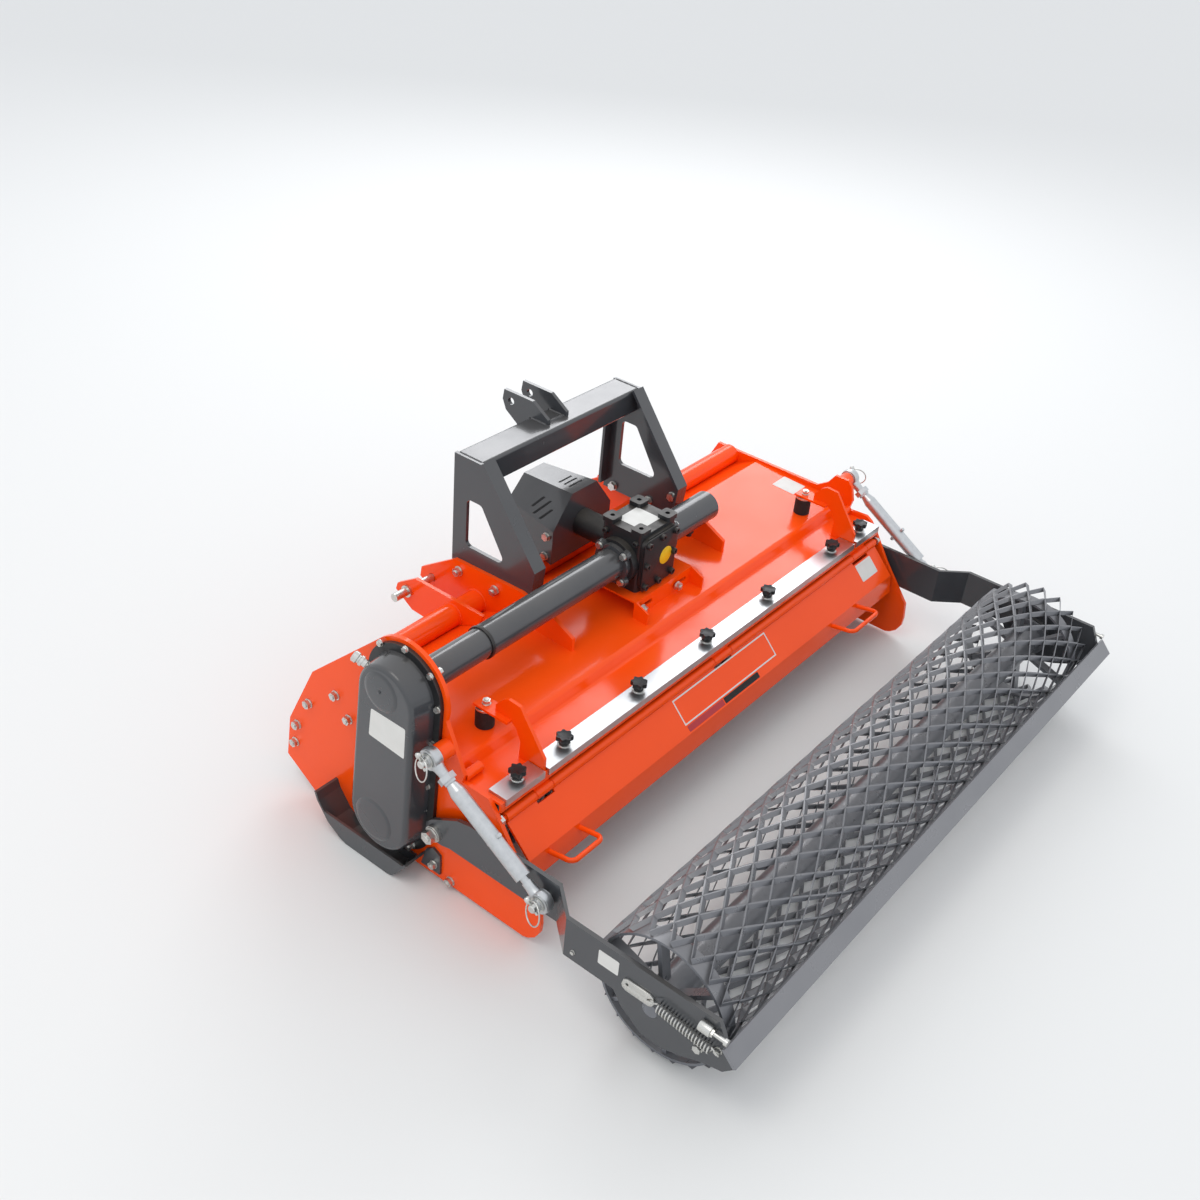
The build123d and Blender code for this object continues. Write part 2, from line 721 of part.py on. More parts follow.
# Clamp strips on the shelf, with a lip behind it and a gap for each buffer arm
strip_t = 8.0
strip_front_y = 34.0
strip_rear_y = shelf_rear_y
lip_t = 4.0                 # folded edge that hangs behind the shelf
lip_low_z = 313.0
strip_end_x = inner_half - 11.0
buffer_x = half_width - 150.0
strip_gap = 6.0
strip_mid_y = (strip_front_y + strip_rear_y) / 2.0
with BuildPart() as clamp_strips:
    with BuildSketch(Plane.XY.offset(shelf_z)):
        with Locations((0.0, strip_mid_y)):
            Rectangle(2.0 * (buffer_x - strip_gap), strip_front_y - strip_rear_y)
        for side in (-1.0, 1.0):
            with Locations((side * (buffer_x + strip_gap + strip_end_x) / 2.0, strip_mid_y)):
                Rectangle(strip_end_x - buffer_x - strip_gap, strip_front_y - strip_rear_y)
    extrude(amount=strip_t)
    with BuildSketch(Plane.XY.offset(lip_low_z)):
        with Locations((0.0, shelf_rear_y - lip_t / 2.0)):
            Rectangle(2.0 * (buffer_x - strip_gap), lip_t)
        for side in (-1.0, 1.0):
            with Locations((side * (buffer_x + strip_gap + strip_end_x) / 2.0, shelf_rear_y - lip_t / 2.0)):
                Rectangle(strip_end_x - buffer_x - strip_gap, lip_t)
    extrude(amount=shelf_z + strip_t - lip_low_z)
save(clamp_strips.part, "clamp_strips")

# Lobed knobs on studs along the strips
knob_y = 13.0
knob_low_z = 344.0
knob_top_z = 364.0
knob_end_x = half_width - 84.0
knob_near_x = buffer_x - 85.0
knob_places = (-knob_end_x, 2.0 - knob_near_x, -297.0, -24.0, 247.0, knob_near_x, knob_end_x)
with BuildPart() as strip_knobs:
    for knob_x in knob_places:
        with BuildSketch(Plane.XY.offset(shelf_z + strip_t)):
            with Locations((knob_x, knob_y)):
                RegularPolygon(radius=10.0, side_count=6)
        extrude(amount=8.0)
        with BuildSketch(Plane.XY.offset(shelf_z + strip_t)):
            with Locations((knob_x, knob_y)):
                Circle(5.0)
        extrude(amount=knob_low_z - shelf_z - strip_t)
        with BuildSketch(Plane.XY.offset(knob_low_z)):
            with Locations((knob_x, knob_y)):
                Circle(14.0)
                with PolarLocations(13.5, 7):
                    Circle(5.0)
        extrude(amount=knob_top_z - knob_low_z)
save(strip_knobs.part, "strip_knobs")

# Buffer arms through the strip gaps, and the rubber buffers between the deck and their bars
buffer_arm_t = 8.0
buffer_bar_low_z = 405.0
buffer_bar_t = 6.0
buffer_bar_ends = (87.0, 186.0)
buffer_bar_w = 38.0
buffer_y = 166.0
buffer_r = 22.0
buffer_low_z = deck_z(buffer_y) + 1.0
buffer_arm = [
    (-8.0, shelf_z),
    (62.0, shelf_z),
    (60.0, 366.0),
    (74.0, 396.0),
    (buffer_bar_ends[0], buffer_bar_low_z),
    (134.0, buffer_bar_low_z),
    (134.0, buffer_bar_low_z + 22.0),
    (112.0, 452.0),
    (99.0, 459.0),
    (66.0, 457.0),
    (-8.0, 356.0),
]
with BuildPart() as buffer_arms:
    for side in (-1.0, 1.0):
        with BuildSketch(Plane.YZ.offset(side * buffer_x - buffer_arm_t / 2.0)):
            with BuildLine():
                Polyline(buffer_arm, close=True)
            make_face()
        extrude(amount=buffer_arm_t)
        with BuildSketch(Plane.XY.offset(buffer_bar_low_z)):
            with Locations((side * buffer_x, sum(buffer_bar_ends) / 2.0)):
                Rectangle(buffer_bar_w, buffer_bar_ends[1] - buffer_bar_ends[0])
        extrude(amount=buffer_bar_t)
save(buffer_arms.part, "buffer_arms")

with BuildPart() as rubber_buffers:
    with BuildSketch(Plane.XY.offset(buffer_low_z)):
        with Locations((-buffer_x, buffer_y), (buffer_x, buffer_y)):
            Circle(buffer_r)
    extrude(amount=buffer_bar_low_z - buffer_low_z)
save(rubber_buffers.part, "rubber_buffers")

# Door hinge: a rod between the side plates, and three knuckles on straps under the shelf
knuckle_spans = ((94.0 - door_half, 145.0 - door_half), (-20.0, 50.0), (door_half - 125.0, door_half - 49.0))
knuckle_gap = 2.0
with BuildPart() as door_hinge:
    with BuildSketch(Plane.YZ.offset(-inner_half)):
        with Locations((hinge_y, hinge_z)):
            Circle(hinge_rod_r)
    extrude(amount=2.0 * inner_half)
    for start_x, end_x in knuckle_spans:
        with BuildSketch(Plane.YZ.offset(start_x)):
            with Locations((hinge_y, hinge_z)):
                Circle(hinge_r)
            with Locations((shelf_rear_y + sheet_t + 3.0, (hinge_z + shelf_z - sheet_t) / 2.0)):
                Rectangle(6.0, shelf_z - sheet_t - hinge_z)
        extrude(amount=end_x - start_x)
save(door_hinge.part, "door_hinge")

# Rear door: a bent sheet below tube lengths that turn on the rod between the knuckles
door_run = hypot(door_bend_y - hinge_y, door_bend_z - hinge_z)
door_dir_y = (door_bend_y - hinge_y) / door_run
door_dir_z = (door_bend_z - hinge_z) / door_run
door_top = (hinge_y + 8.0 * door_dir_y, hinge_z + 8.0 * door_dir_z)
door_section = sheet_outline([door_top, (door_bend_y, door_bend_z), (door_low_y, door_low_z)], sheet_t)
tube_spans = (
    (-door_half, knuckle_spans[0][0] - knuckle_gap),
    (knuckle_spans[0][1] + knuckle_gap, knuckle_spans[1][0] - knuckle_gap),
    (knuckle_spans[1][1] + knuckle_gap, knuckle_spans[2][0] - knuckle_gap),
    (knuckle_spans[2][1] + knuckle_gap, door_half),
)
with BuildPart() as rear_door:
    with BuildSketch(Plane.YZ.offset(-door_half)):
        with BuildLine():
            Polyline(door_section, close=True)
        make_face()
    extrude(amount=2.0 * door_half)
    for start_x, end_x in tube_spans:
        with BuildSketch(Plane.YZ.offset(start_x)):
            with Locations((hinge_y, hinge_z)):
                Circle(hinge_r)
        extrude(amount=end_x - start_x)
    for start_x, end_x in knuckle_spans:
        with BuildSketch(Plane.YZ.offset(start_x - knuckle_gap)):
            with Locations((hinge_y, hinge_z)):
                Circle(hinge_r + 8.0)
        extrude(amount=end_x - start_x + 2.0 * knuckle_gap, mode=Mode.SUBTRACT)
    with BuildSketch(Plane.YZ.offset(-door_half)):
        with Locations((hinge_y, hinge_z)):
            Circle(hinge_rod_r + fit)
    extrude(amount=2.0 * door_half, mode=Mode.SUBTRACT)
save(rear_door.part, "rear_door")

# Door handles: round bars bent to a U, square to the lower panel
handle_r = 6.0
handle_reach = 70.0
handle_bend_r = 16.0
handle_drop = 14.0
handle_spans = ((57.0 - door_half, 170.0 - door_half), (door_half - 325.0, door_half - 181.0))
panel_run = hypot(door_low_y - door_bend_y, door_low_z - door_bend_z)
panel_y = (door_low_y - door_bend_y) / panel_run
panel_z = (door_low_z - door_bend_z) / panel_run
foot_y = door_bend_y + handle_drop * panel_y
foot_z = door_bend_z + handle_drop * panel_z
out_of_panel = Vector(0.0, panel_z, -panel_y)
with BuildPart() as door_handles:
    for start_x, end_x in handle_spans:
        inset = handle_r
        reach = out_of_panel * (handle_reach - handle_r)
        foot_a = Vector(start_x + inset, foot_y, foot_z)
        foot_b = Vector(end_x - inset, foot_y, foot_z)
        with BuildLine():
            FilletPolyline(foot_a, foot_a + reach, foot_b + reach, foot_b, radius=handle_bend_r)
        with BuildSketch(Plane(origin=foot_a, z_dir=out_of_panel)):
            Circle(handle_r)
        sweep()
save(door_handles.part, "door_handles")

# Pivot pins of the roller arms, with a washer against the side plate and a head outside
arm_x = half_width + arm_gap
pin_head_r = 20.0
with BuildPart() as arm_pivot_pins:
    for side in (-1.0, 1.0):
        for start_x, end_x, radius in (
            (half_width, arm_x - fit, pin_head_r),
            (half_width, arm_x + arm_t + 8.0, arm_pivot_r),
            (arm_x + arm_t + fit, arm_x + arm_t + 8.0, pin_head_r),
        ):
            with BuildSketch(Plane.YZ.offset(side * start_x)):
                with Locations((arm_pivot_y, arm_pivot_z)):
                    Circle(radius)
            extrude(amount=side * (end_x - start_x))
save(arm_pivot_pins.part, "arm_pivot_pins")

# Roller arms: a front plate, a jog outwards and a rear plate with a rounded lower lobe
arm_rear_in = arm_rear_x - arm_t
bearing_r = 45.0
bearing_t = 12.0
roller_shaft_r = 17.5
arm_front = [
    (arm_jog_front_y, arm_low_z),
    (arm_jog_front_y, arm_top_z),
    (38.0, arm_top_z),
    (78.0, 243.0),
    (150.0, 200.0),
    (166.0, 184.0),
    (168.0, 160.0),
    (154.0, 144.0),
    (120.0, 144.0),
    (96.0, arm_low_z),
]
arm_rear = [
    (arm_jog_rear_y, arm_low_z),
    (arm_jog_rear_y, arm_top_z),
    (arm_end_y, arm_top_z),
    (-658.3, 207.4),
    (-688.3, 176.4),
    (-685.0, 159.0),
    (-660.0, 131.0),
    (-612.0, 117.0),
    (-568.0, 96.0),
    (-522.0, 80.0),
    (-473.0, 82.0),
    (-419.0, 120.0),
    (-398.0, arm_low_z),
]


def build_arm(side):
    with BuildPart() as arm:
        with BuildSketch(Plane.YZ.offset(side * arm_x)):
            with BuildLine():
                Polyline(arm_front, close=True)
            make_face()
            with Locations((arm_pivot_y, arm_pivot_z)):
                Circle(arm_pivot_r + fit, mode=Mode.SUBTRACT)
        extrude(amount=side * arm_t)
        with BuildSketch(Plane.XY.offset(arm_low_z)):
            with BuildLine():
                Polyline(
                    (side * arm_x, arm_jog_front_y),
                    (side * (arm_x + arm_t), arm_jog_front_y),
                    (side * arm_rear_x, arm_jog_rear_y),
                    (side * arm_rear_in, arm_jog_rear_y),
                    close=True,
                )
            make_face()
        extrude(amount=arm_top_z - arm_low_z)
        with BuildSketch(Plane.YZ.offset(side * arm_rear_in)):
            with BuildLine():
                Polyline(arm_rear, close=True)
            make_face()
        extrude(amount=side * arm_t)
        with BuildSketch(Plane.YZ.offset(side * (arm_rear_in - bearing_t))):
            with Locations((roller_y, roller_z)):
                Circle(bearing_r)
        extrude(amount=side * bearing_t)
        with BuildSketch(Plane.YZ.offset(side * (arm_rear_in - bearing_t))):
            with Locations((roller_y, roller_z)):
                Circle(roller_shaft_r + fit)
        extrude(amount=side * (bearing_t + arm_t), mode=Mode.SUBTRACT)
    return arm.part


save(build_arm(-1.0), "roller_arm_left")
save(build_arm(1.0), "roller_arm_right")

# Scraper: a sloping bar across the rear of the arms, with a leg towards the roller between them
bar_face = [(-664.0, 213.0), (-694.0, 182.0), (-688.3, 176.4), (-658.3, 207.4)]
bar_leg = [(-688.3, 176.4), (-665.3, 154.1), (-659.7, 159.9), (-682.7, 182.2)]
with BuildPart() as scraper:
    for half_x, outline in ((scraper_half, bar_face), (arm_rear_in - 4.0, bar_leg)):
        with BuildSketch(Plane.YZ.offset(-half_x)):
            with BuildLine():
                Polyline(outline, close=True)
            make_face()
        extrude(amount=2.0 * half_x)
save(scraper.part, "scraper")

# Spring gear outside each arm: a tab, the coil's outline, and a stud with its nut
spring_r = 9.5
spring_x = arm_rear_x + 12.0
with BuildPart() as scraper_springs:
    for side in (-1.0, 1.0):
        with BuildSketch(Plane.YZ.offset(side * arm_rear_x)):
            with Locations((-462.0, 200.0)):
                Rectangle(80.0, 26.0)
            with Locations((-640.0, 180.0)):
                Rectangle(20.0, 24.0)
            with Locations((-618.0, 226.0)):
                Circle(12.0)
        extrude(amount=side * 4.0)
        with BuildSketch(Plane.XZ.offset(490.0)):
            with Locations((side * spring_x, 184.0)):
                Circle(spring_r)
        extrude(amount=150.0)
        with BuildSketch(Plane.XZ.offset(600.0)):
            with Locations((side * (arm_rear_x + 6.0), 226.0)):
                Circle(6.0)
        extrude(amount=60.0)
save(scraper_springs.part, "scraper_springs")

# Roller: a shaft in a centre tube, end bands on flat spokes, and the mesh round them
core_r = 38.0
left_mesh_x = 28.0 - roller_half
mesh_sides = 32
band_r = (roller_r - mesh_t) * cos(pi / mesh_sides)
band_t = 6.0
band_spans = ((-roller_half, 58.0 - roller_half), (roller_half - 78.0, roller_half - 48.0))
spoke_count = 6
spoke_t = 8.0
with BuildPart() as roller_shaft:
    with BuildSketch(Plane.YZ.offset(-arm_rear_x)):
        with Locations((roller_y, roller_z)):
            Circle(roller_shaft_r)
    extrude(amount=2.0 * arm_rear_x)
    with BuildSketch(Plane.YZ.offset(-roller_half)):
        with Locations((roller_y, roller_z)):
            Circle(core_r)
    extrude(amount=2.0 * roller_half)
save(roller_shaft.part, "roller_shaft")

with BuildPart() as roller_bands:
    for start_x, end_x in band_spans:
        with BuildSketch(Plane.YZ.offset(start_x)):
            with Locations((roller_y, roller_z)):
                Circle(band_r)
                Circle(band_r - band_t, mode=Mode.SUBTRACT)
        extrude(amount=end_x - start_x)
        with BuildSketch(Plane.YZ.offset((start_x + end_x) / 2.0 - spoke_t / 2.0)):
            with Locations((roller_y, roller_z)):
                with PolarLocations(0.0, spoke_count, start_angle=30.0):
                    with Locations(((core_r + 2.0 + band_r - 3.0) / 2.0, 0.0)):
                        Rectangle(band_r - core_r - 5.0, 44.0)
                Circle(core_r + 14.0)
                Circle(core_r, mode=Mode.SUBTRACT)
        extrude(amount=spoke_t)
save(roller_bands.part, "roller_bands")

cells_around = 8
cell_pitch = 2.0 * pi * roller_r / cells_around
strand_w = 15.0
cell_half = cell_pitch / 2.0 - strand_w / 1.414
cell_columns = int((roller_half - left_mesh_x) / cell_pitch)
mesh_mid_x = (left_mesh_x + roller_half) / 2.0
cell_shape = [(cell_half, 0.0), (0.0, cell_half), (-cell_half, 0.0), (0.0, -cell_half)]
with BuildPart() as roller_mesh:
    with BuildSketch(Plane.YZ.offset(left_mesh_x)):
        with Locations((roller_y, roller_z)):
            RegularPolygon(roller_r, mesh_sides)
            RegularPolygon(roller_r - mesh_t, mesh_sides, mode=Mode.SUBTRACT)
    extrude(amount=roller_half - left_mesh_x)
    for turn in range(2 * cells_around):
        angle = turn * 360.0 / (2 * cells_around)
        columns = cell_columns - turn % 2
        radial = (0.0, cos(radians(angle)), sin(radians(angle)))
        with BuildSketch(Plane(origin=(mesh_mid_x, roller_y, roller_z), x_dir=(1.0, 0.0, 0.0), z_dir=radial)):
            with GridLocations(cell_pitch, 1.0, columns, 1):
                Polygon(*cell_shape, align=None)
        extrude(amount=roller_r + 10.0, mode=Mode.SUBTRACT)
save(roller_mesh.part, "roller_mesh")

# Adjusters: upper pins on the side plates, barrels with the upper eyes, rods with the lower eyes
link_run = hypot(lower_pin_y - upper_pin_y, lower_pin_z - upper_pin_z)
link_y = (lower_pin_y - upper_pin_y) / link_run
link_z = (lower_pin_z - upper_pin_z) / link_run
barrel_start = 66.0
barrel_end = 306.0
barrel_cone = 22.0
bore_start = 105.0          # leaves the rod 35 mm of travel into the barrel
rod_start = 150.0
eye_face = adjuster_x - eye_w / 2.0
with BuildPart() as adjuster_pins:
    for side in (-1.0, 1.0):
        for start_x, end_x, radius in (
            (half_width, eye_face - fit, 17.0),
            (half_width, adjuster_x + eye_w / 2.0 + 7.0, adjuster_pin_r),
            (adjuster_x + eye_w / 2.0 + fit, adjuster_x + eye_w / 2.0 + 7.0, 14.0),
        ):
            with BuildSketch(Plane.YZ.offset(side * start_x)):
                with Locations((upper_pin_y, upper_pin_z)):
                    Circle(radius)
            extrude(amount=side * (end_x - start_x))
save(adjuster_pins.part, "adjuster_pins")


def link_plane(side, along):
    origin = (side * adjuster_x, upper_pin_y + along * link_y, upper_pin_z + along * link_z)
    return Plane(origin=origin, x_dir=(1.0, 0.0, 0.0), z_dir=(0.0, link_y, link_z))


def build_barrel(side):
    with BuildPart() as barrel:
        with BuildSketch(Plane.YZ.offset(side * eye_face)):
            with Locations((upper_pin_y, upper_pin_z)):
                Circle(eye_r)
        extrude(amount=side * eye_w)
        with BuildSketch(link_plane(side, eye_r - 4.0)):
            Circle(rod_r)
        extrude(amount=barrel_start - eye_r + 4.0)
        with BuildSketch(link_plane(side, barrel_start - 10.0)):
            RegularPolygon(radius=15.0, side_count=6)
        extrude(amount=10.0)
        with BuildSketch(link_plane(side, barrel_start)):
            Circle(barrel_r - 6.0)
        extrude(amount=barrel_cone, taper=-15.0)
        with BuildSketch(link_plane(side, barrel_start + barrel_cone)):
            Circle(barrel_r)
        extrude(amount=barrel_end - barrel_start - barrel_cone)
        with BuildSketch(link_plane(side, bore_start)):
            Circle(rod_r + fit)
        extrude(amount=barrel_end - bore_start, mode=Mode.SUBTRACT)
        with BuildSketch(Plane.YZ.offset(side * eye_face)):
            with Locations((upper_pin_y, upper_pin_z)):
                Circle(adjuster_pin_r + fit)
        extrude(amount=side * eye_w, mode=Mode.SUBTRACT)
    return barrel.part


def build_rod(side):
    with BuildPart() as rod:
        with BuildSketch(link_plane(side, rod_start)):
            Circle(rod_r)
        extrude(amount=link_run - rod_start)
        for start_x, end_x, radius in (
            (eye_face, eye_face + eye_w, eye_r),
            (arm_x + arm_t + fit, eye_face + eye_w + 7.0, adjuster_pin_r),
            (eye_face + eye_w, eye_face + eye_w + 7.0, 14.0),
        ):
            with BuildSketch(Plane.YZ.offset(side * start_x)):
                with Locations((lower_pin_y, lower_pin_z)):
                    Circle(radius)
            extrude(amount=side * (end_x - start_x))
    return rod.part


save(build_barrel(-1.0), "adjuster_barrel_left")
save(build_barrel(1.0), "adjuster_barrel_right")
save(build_rod(-1.0), "adjuster_rod_left")
save(build_rod(1.0), "adjuster_rod_right")
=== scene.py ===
# %% [markdown]
# # Stone burier
# This file dresses a stone burier: a tractor-mounted machine whose hooded rotor buries stones and
# whose mesh roller firms the bed behind it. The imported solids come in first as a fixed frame, in
# metres, with +Y towards the tractor, +X to the machine's right and the ground at Z = 0.
# Everything after that is either a finish for one of those solids or a new piece that rides on one.

import math

import bmesh
import bpy
from mathutils import Matrix, Vector


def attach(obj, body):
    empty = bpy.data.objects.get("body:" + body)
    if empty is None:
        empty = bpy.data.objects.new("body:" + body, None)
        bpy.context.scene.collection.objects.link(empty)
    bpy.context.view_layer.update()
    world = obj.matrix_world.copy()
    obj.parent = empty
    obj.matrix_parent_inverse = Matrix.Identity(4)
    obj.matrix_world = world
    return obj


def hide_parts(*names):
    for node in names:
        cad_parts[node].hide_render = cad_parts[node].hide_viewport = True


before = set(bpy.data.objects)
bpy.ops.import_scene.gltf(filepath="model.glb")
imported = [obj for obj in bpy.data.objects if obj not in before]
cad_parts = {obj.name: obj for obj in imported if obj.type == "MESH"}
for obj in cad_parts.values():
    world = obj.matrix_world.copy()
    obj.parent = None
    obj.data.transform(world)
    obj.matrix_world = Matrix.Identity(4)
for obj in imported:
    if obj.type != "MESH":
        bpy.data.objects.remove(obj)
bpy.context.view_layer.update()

# %% [markdown]
# ## The camera
# The photograph was taken from behind and to the left of the machine, from a little over two metres up.
# Its place and lens were solved from edges whose real directions are known, so the same numbers
# serve here: a place in metres, a heading, a downward tilt, a small roll and a focal length.

# %% Camera from the solved view
camera_place = Vector((-2.4146, -1.3765, 2.2931))
heading = 0.9477
tilt = 0.5974
roll = 0.0986
lens_px = 1390.87
frame_px = 1200.0
sensor_mm = 36.0

ahead = Vector((math.sin(heading) * math.cos(tilt), math.cos(heading) * math.cos(tilt), -math.sin(tilt)))
level = Vector((math.cos(heading), -math.sin(heading), 0.0))
upright = level.cross(ahead)
across = math.cos(roll) * level + math.sin(roll) * upright
above = -math.sin(roll) * level + math.cos(roll) * upright

bpy.ops.object.camera_add(location=camera_place)
camera = bpy.context.object
camera.name = "photo_camera"
camera.data.sensor_width = sensor_mm
camera.data.lens = lens_px / frame_px * sensor_mm
camera.data.clip_start = 0.05
camera.data.clip_end = 60.0
turn = Matrix((across, above, -ahead)).transposed()
camera.matrix_world = Matrix.Translation(camera_place) @ turn.to_4x4()
bpy.context.scene.camera = camera
print("lens mm:", round(camera.data.lens, 2))

# %% [markdown]
# ## Floor and light
# The machine stood outdoors under a bright, hazy sky, so its shadows are soft. Most of the light comes
# from an even, pale world. The paint shows pale streaks where it mirrors the brightest part of the sky,
# low ahead of the machine and to its right, so one broad lamp stands there. A weaker one, high on its
# left, gives the shadows their direction. The floor is a plain sheet just under the skids.

# %% Colour helper, floor, world and lamps
def linear(hex_text):
    channels = [int(hex_text[i:i + 2], 16) / 255.0 for i in (0, 2, 4)]
    return [c / 12.92 if c <= 0.04045 else ((c + 0.055) / 1.055) ** 2.4 for c in channels] + [1.0]


def add_node(tree, kind, settings=None, inputs=None):
    node = tree.nodes.new(kind)
    for name, value in (settings or {}).items():
        setattr(node, name, value)
    for name, value in (inputs or {}).items():
        if isinstance(value, bpy.types.NodeSocket):
            tree.links.new(value, node.inputs[name])
        else:
            node.inputs[name].default_value = value
    return node


bpy.context.scene.view_settings.view_transform = "Standard"

bpy.ops.mesh.primitive_plane_add(size=120.0, location=(0.0, 0.0, -0.001))
floor = bpy.context.object
floor.name = "floor"
floor_paint = bpy.data.materials.new("floor_sheet")
floor_paint.use_nodes = True
floor_shader = floor_paint.node_tree.nodes["Principled BSDF"]
floor_shader.inputs["Base Color"].default_value = linear("E3E3E1")
floor_shader.inputs["Roughness"].default_value = 0.9
floor.data.materials.append(floor_paint)

world = bpy.data.worlds.new("soft_sky")
bpy.context.scene.world = world
world.use_nodes = True
sky = world.node_tree.nodes["Background"]
sky.inputs["Color"].default_value = linear("F2F5FA")
sky.inputs["Strength"].default_value = 1.08


def add_lamp(name, place, target, size, watts, colour):
    bpy.ops.object.light_add(type="AREA", location=place)
    lamp = bpy.context.object
    lamp.name = name
    lamp.data.shape = "RECTANGLE"
    lamp.data.size = size[0]
    lamp.data.size_y = size[1]
    lamp.data.energy = watts
    lamp.data.color = linear(colour)[:3]
    lamp.rotation_euler = (Vector(target) - Vector(place)).to_track_quat("-Z", "Y").to_euler()


add_lamp("key_lamp", place=(-2.5, 0.5, 5.0), target=(0.0, 0.0, 0.2), size=(2.5, 2.5), watts=44.0,
         colour="FFFAF2")
add_lamp("sky_lamp", place=(3.4, 2.8, 3.1), target=(0.0, 0.0, 0.3), size=(3.0, 1.8), watts=66.0,
         colour="FBFCFF")

# %% [markdown]
# ## Finishes
# Nearly everything here is painted steel. The orange and the dark grey are powder coats: an
# epoxy-polyester powder baked to a smooth, glossy skin that ripples slightly like orange peel, a few
# millimetres from crest to crest. Bare and zinc-plated metals are rougher and cloudier. Each finish
# is made by one function from the same few nodes: a cloudy noise for colour and roughness, and a fine
# one for bump, both on Object coordinates so that they stay put when the model turns. Faces that look
# up take a little dust.

# %% A finish from clouds and a fine bump
def make_finish(name, hex_colour, hex_shade, roughness, metallic=0.0, cloud_mm=60.0, grain_mm=3.0,
                bump=0.15, bump_mm=0.2, rough_spread=0.08, coat=0.0, dust=0.0, ior=1.5):
    finish = bpy.data.materials.new(name)
    finish.use_nodes = True
    tree = finish.node_tree
    shader = tree.nodes["Principled BSDF"]
    place = add_node(tree, "ShaderNodeTexCoord").outputs["Object"]
    clouds = add_node(tree, "ShaderNodeTexNoise", None,
                      {"Vector": place, "Scale": 1000.0 / cloud_mm, "Detail": 5.0, "Roughness": 0.6})
    grain = add_node(tree, "ShaderNodeTexNoise", None,
                     {"Vector": place, "Scale": 1000.0 / grain_mm, "Detail": 2.0, "Roughness": 0.5})
    shade = add_node(tree, "ShaderNodeMix", {"data_type": "RGBA"})
    tree.links.new(clouds.outputs["Fac"], shade.inputs["Factor"])
    shade.inputs["A"].default_value = linear(hex_shade)
    shade.inputs["B"].default_value = linear(hex_colour)
    spread = add_node(tree, "ShaderNodeMapRange", None,
                      {"Value": clouds.outputs["Fac"], "From Min": 0.3, "From Max": 0.7,
                       "To Min": roughness + rough_spread, "To Max": roughness - rough_spread})
    relief = add_node(tree, "ShaderNodeBump", None,
                      {"Height": grain.outputs["Fac"], "Strength": bump, "Distance": bump_mm / 1000.0})
    colour = shade.outputs["Result"]
    if dust > 0.0:
        up = add_node(tree, "ShaderNodeNewGeometry").outputs["Normal"]
        parts = add_node(tree, "ShaderNodeSeparateXYZ", None, {"Vector": up})
        facing = add_node(tree, "ShaderNodeMapRange", None,
                          {"Value": parts.outputs["Z"], "From Min": 0.2, "From Max": 1.0,
                           "To Min": 0.0, "To Max": dust})
        patch = add_node(tree, "ShaderNodeMath", {"operation": "MULTIPLY"})
        tree.links.new(facing.outputs["Result"], patch.inputs[0])
        tree.links.new(clouds.outputs["Fac"], patch.inputs[1])
        dusty = add_node(tree, "ShaderNodeMix", {"data_type": "RGBA"})
        tree.links.new(patch.outputs["Value"], dusty.inputs["Factor"])
        tree.links.new(colour, dusty.inputs["A"])
        dusty.inputs["B"].default_value = linear("B8A890")
        colour = dusty.outputs["Result"]
    tree.links.new(colour, shader.inputs["Base Color"])
    tree.links.new(spread.outputs["Result"], shader.inputs["Roughness"])
    tree.links.new(relief.outputs["Normal"], shader.inputs["Normal"])
    shader.inputs["Metallic"].default_value = metallic
    shader.inputs["Coat Weight"].default_value = coat
    shader.inputs["Coat Roughness"].default_value = 0.08
    if metallic < 0.5:
        shader.inputs["IOR"].default_value = ior
    return finish


orange_coat = make_finish("orange_powder_coat", "FF5206", "F84C03", 0.17, cloud_mm=220.0, grain_mm=4.0,
                          bump=0.05, bump_mm=0.12, coat=0.05, dust=0.03, ior=1.35)
grey_coat = make_finish("dark_grey_powder_coat", "404246", "393B3E", 0.21, cloud_mm=180.0,
                        bump=0.08, bump_mm=0.12, coat=0.4, dust=0.10)
black_coat = make_finish("black_enamel", "1B1C1E", "141517", 0.38, cloud_mm=90.0, grain_mm=2.5,
                         coat=0.1, dust=0.10)
cast_black = make_finish("black_painted_casting", "202124", "17181A", 0.45, cloud_mm=50.0, grain_mm=2.0,
                         bump=0.45, bump_mm=0.5, dust=0.12)
stainless = make_finish("brushed_stainless_strip", "CFD0D1", "BFC1C2", 0.33, metallic=1.0,
                        grain_mm=1.5, bump=0.03, bump_mm=0.1, rough_spread=0.03)
galvanised = make_finish("hot_dip_galvanised_steel", "D6D8D9", "B4B7B9", 0.36, metallic=0.9, cloud_mm=12.0,
                         grain_mm=2.0, bump=0.25, bump_mm=0.25, dust=0.06)
zinc_plate = make_finish("bright_zinc_plating", "DCDBD6", "C4C4C0", 0.3, metallic=0.95, cloud_mm=10.0,
                         grain_mm=1.0, bump=0.1, bump_mm=0.1)
bare_steel = make_finish("machined_steel", "8E8E8E", "757473", 0.36, metallic=0.95, cloud_mm=20.0,
                         grain_mm=1.0, bump_mm=0.1)
mesh_coat = make_finish("grey_painted_expanded_metal", "7C7E83", "6B6D72", 0.32, metallic=0.3,
                        bump=0.2, bump_mm=0.3, dust=0.15)
scraper_coat = make_finish("light_grey_powder_coat", "7E7F83", "727377", 0.3, cloud_mm=150.0,
                           bump=0.1, bump_mm=0.15, coat=0.2, dust=0.08)
knob_nylon = make_finish("black_moulded_nylon", "17181A", "101113", 0.42, cloud_mm=15.0, grain_mm=1.0,
                         bump=0.3, bump_mm=0.1)
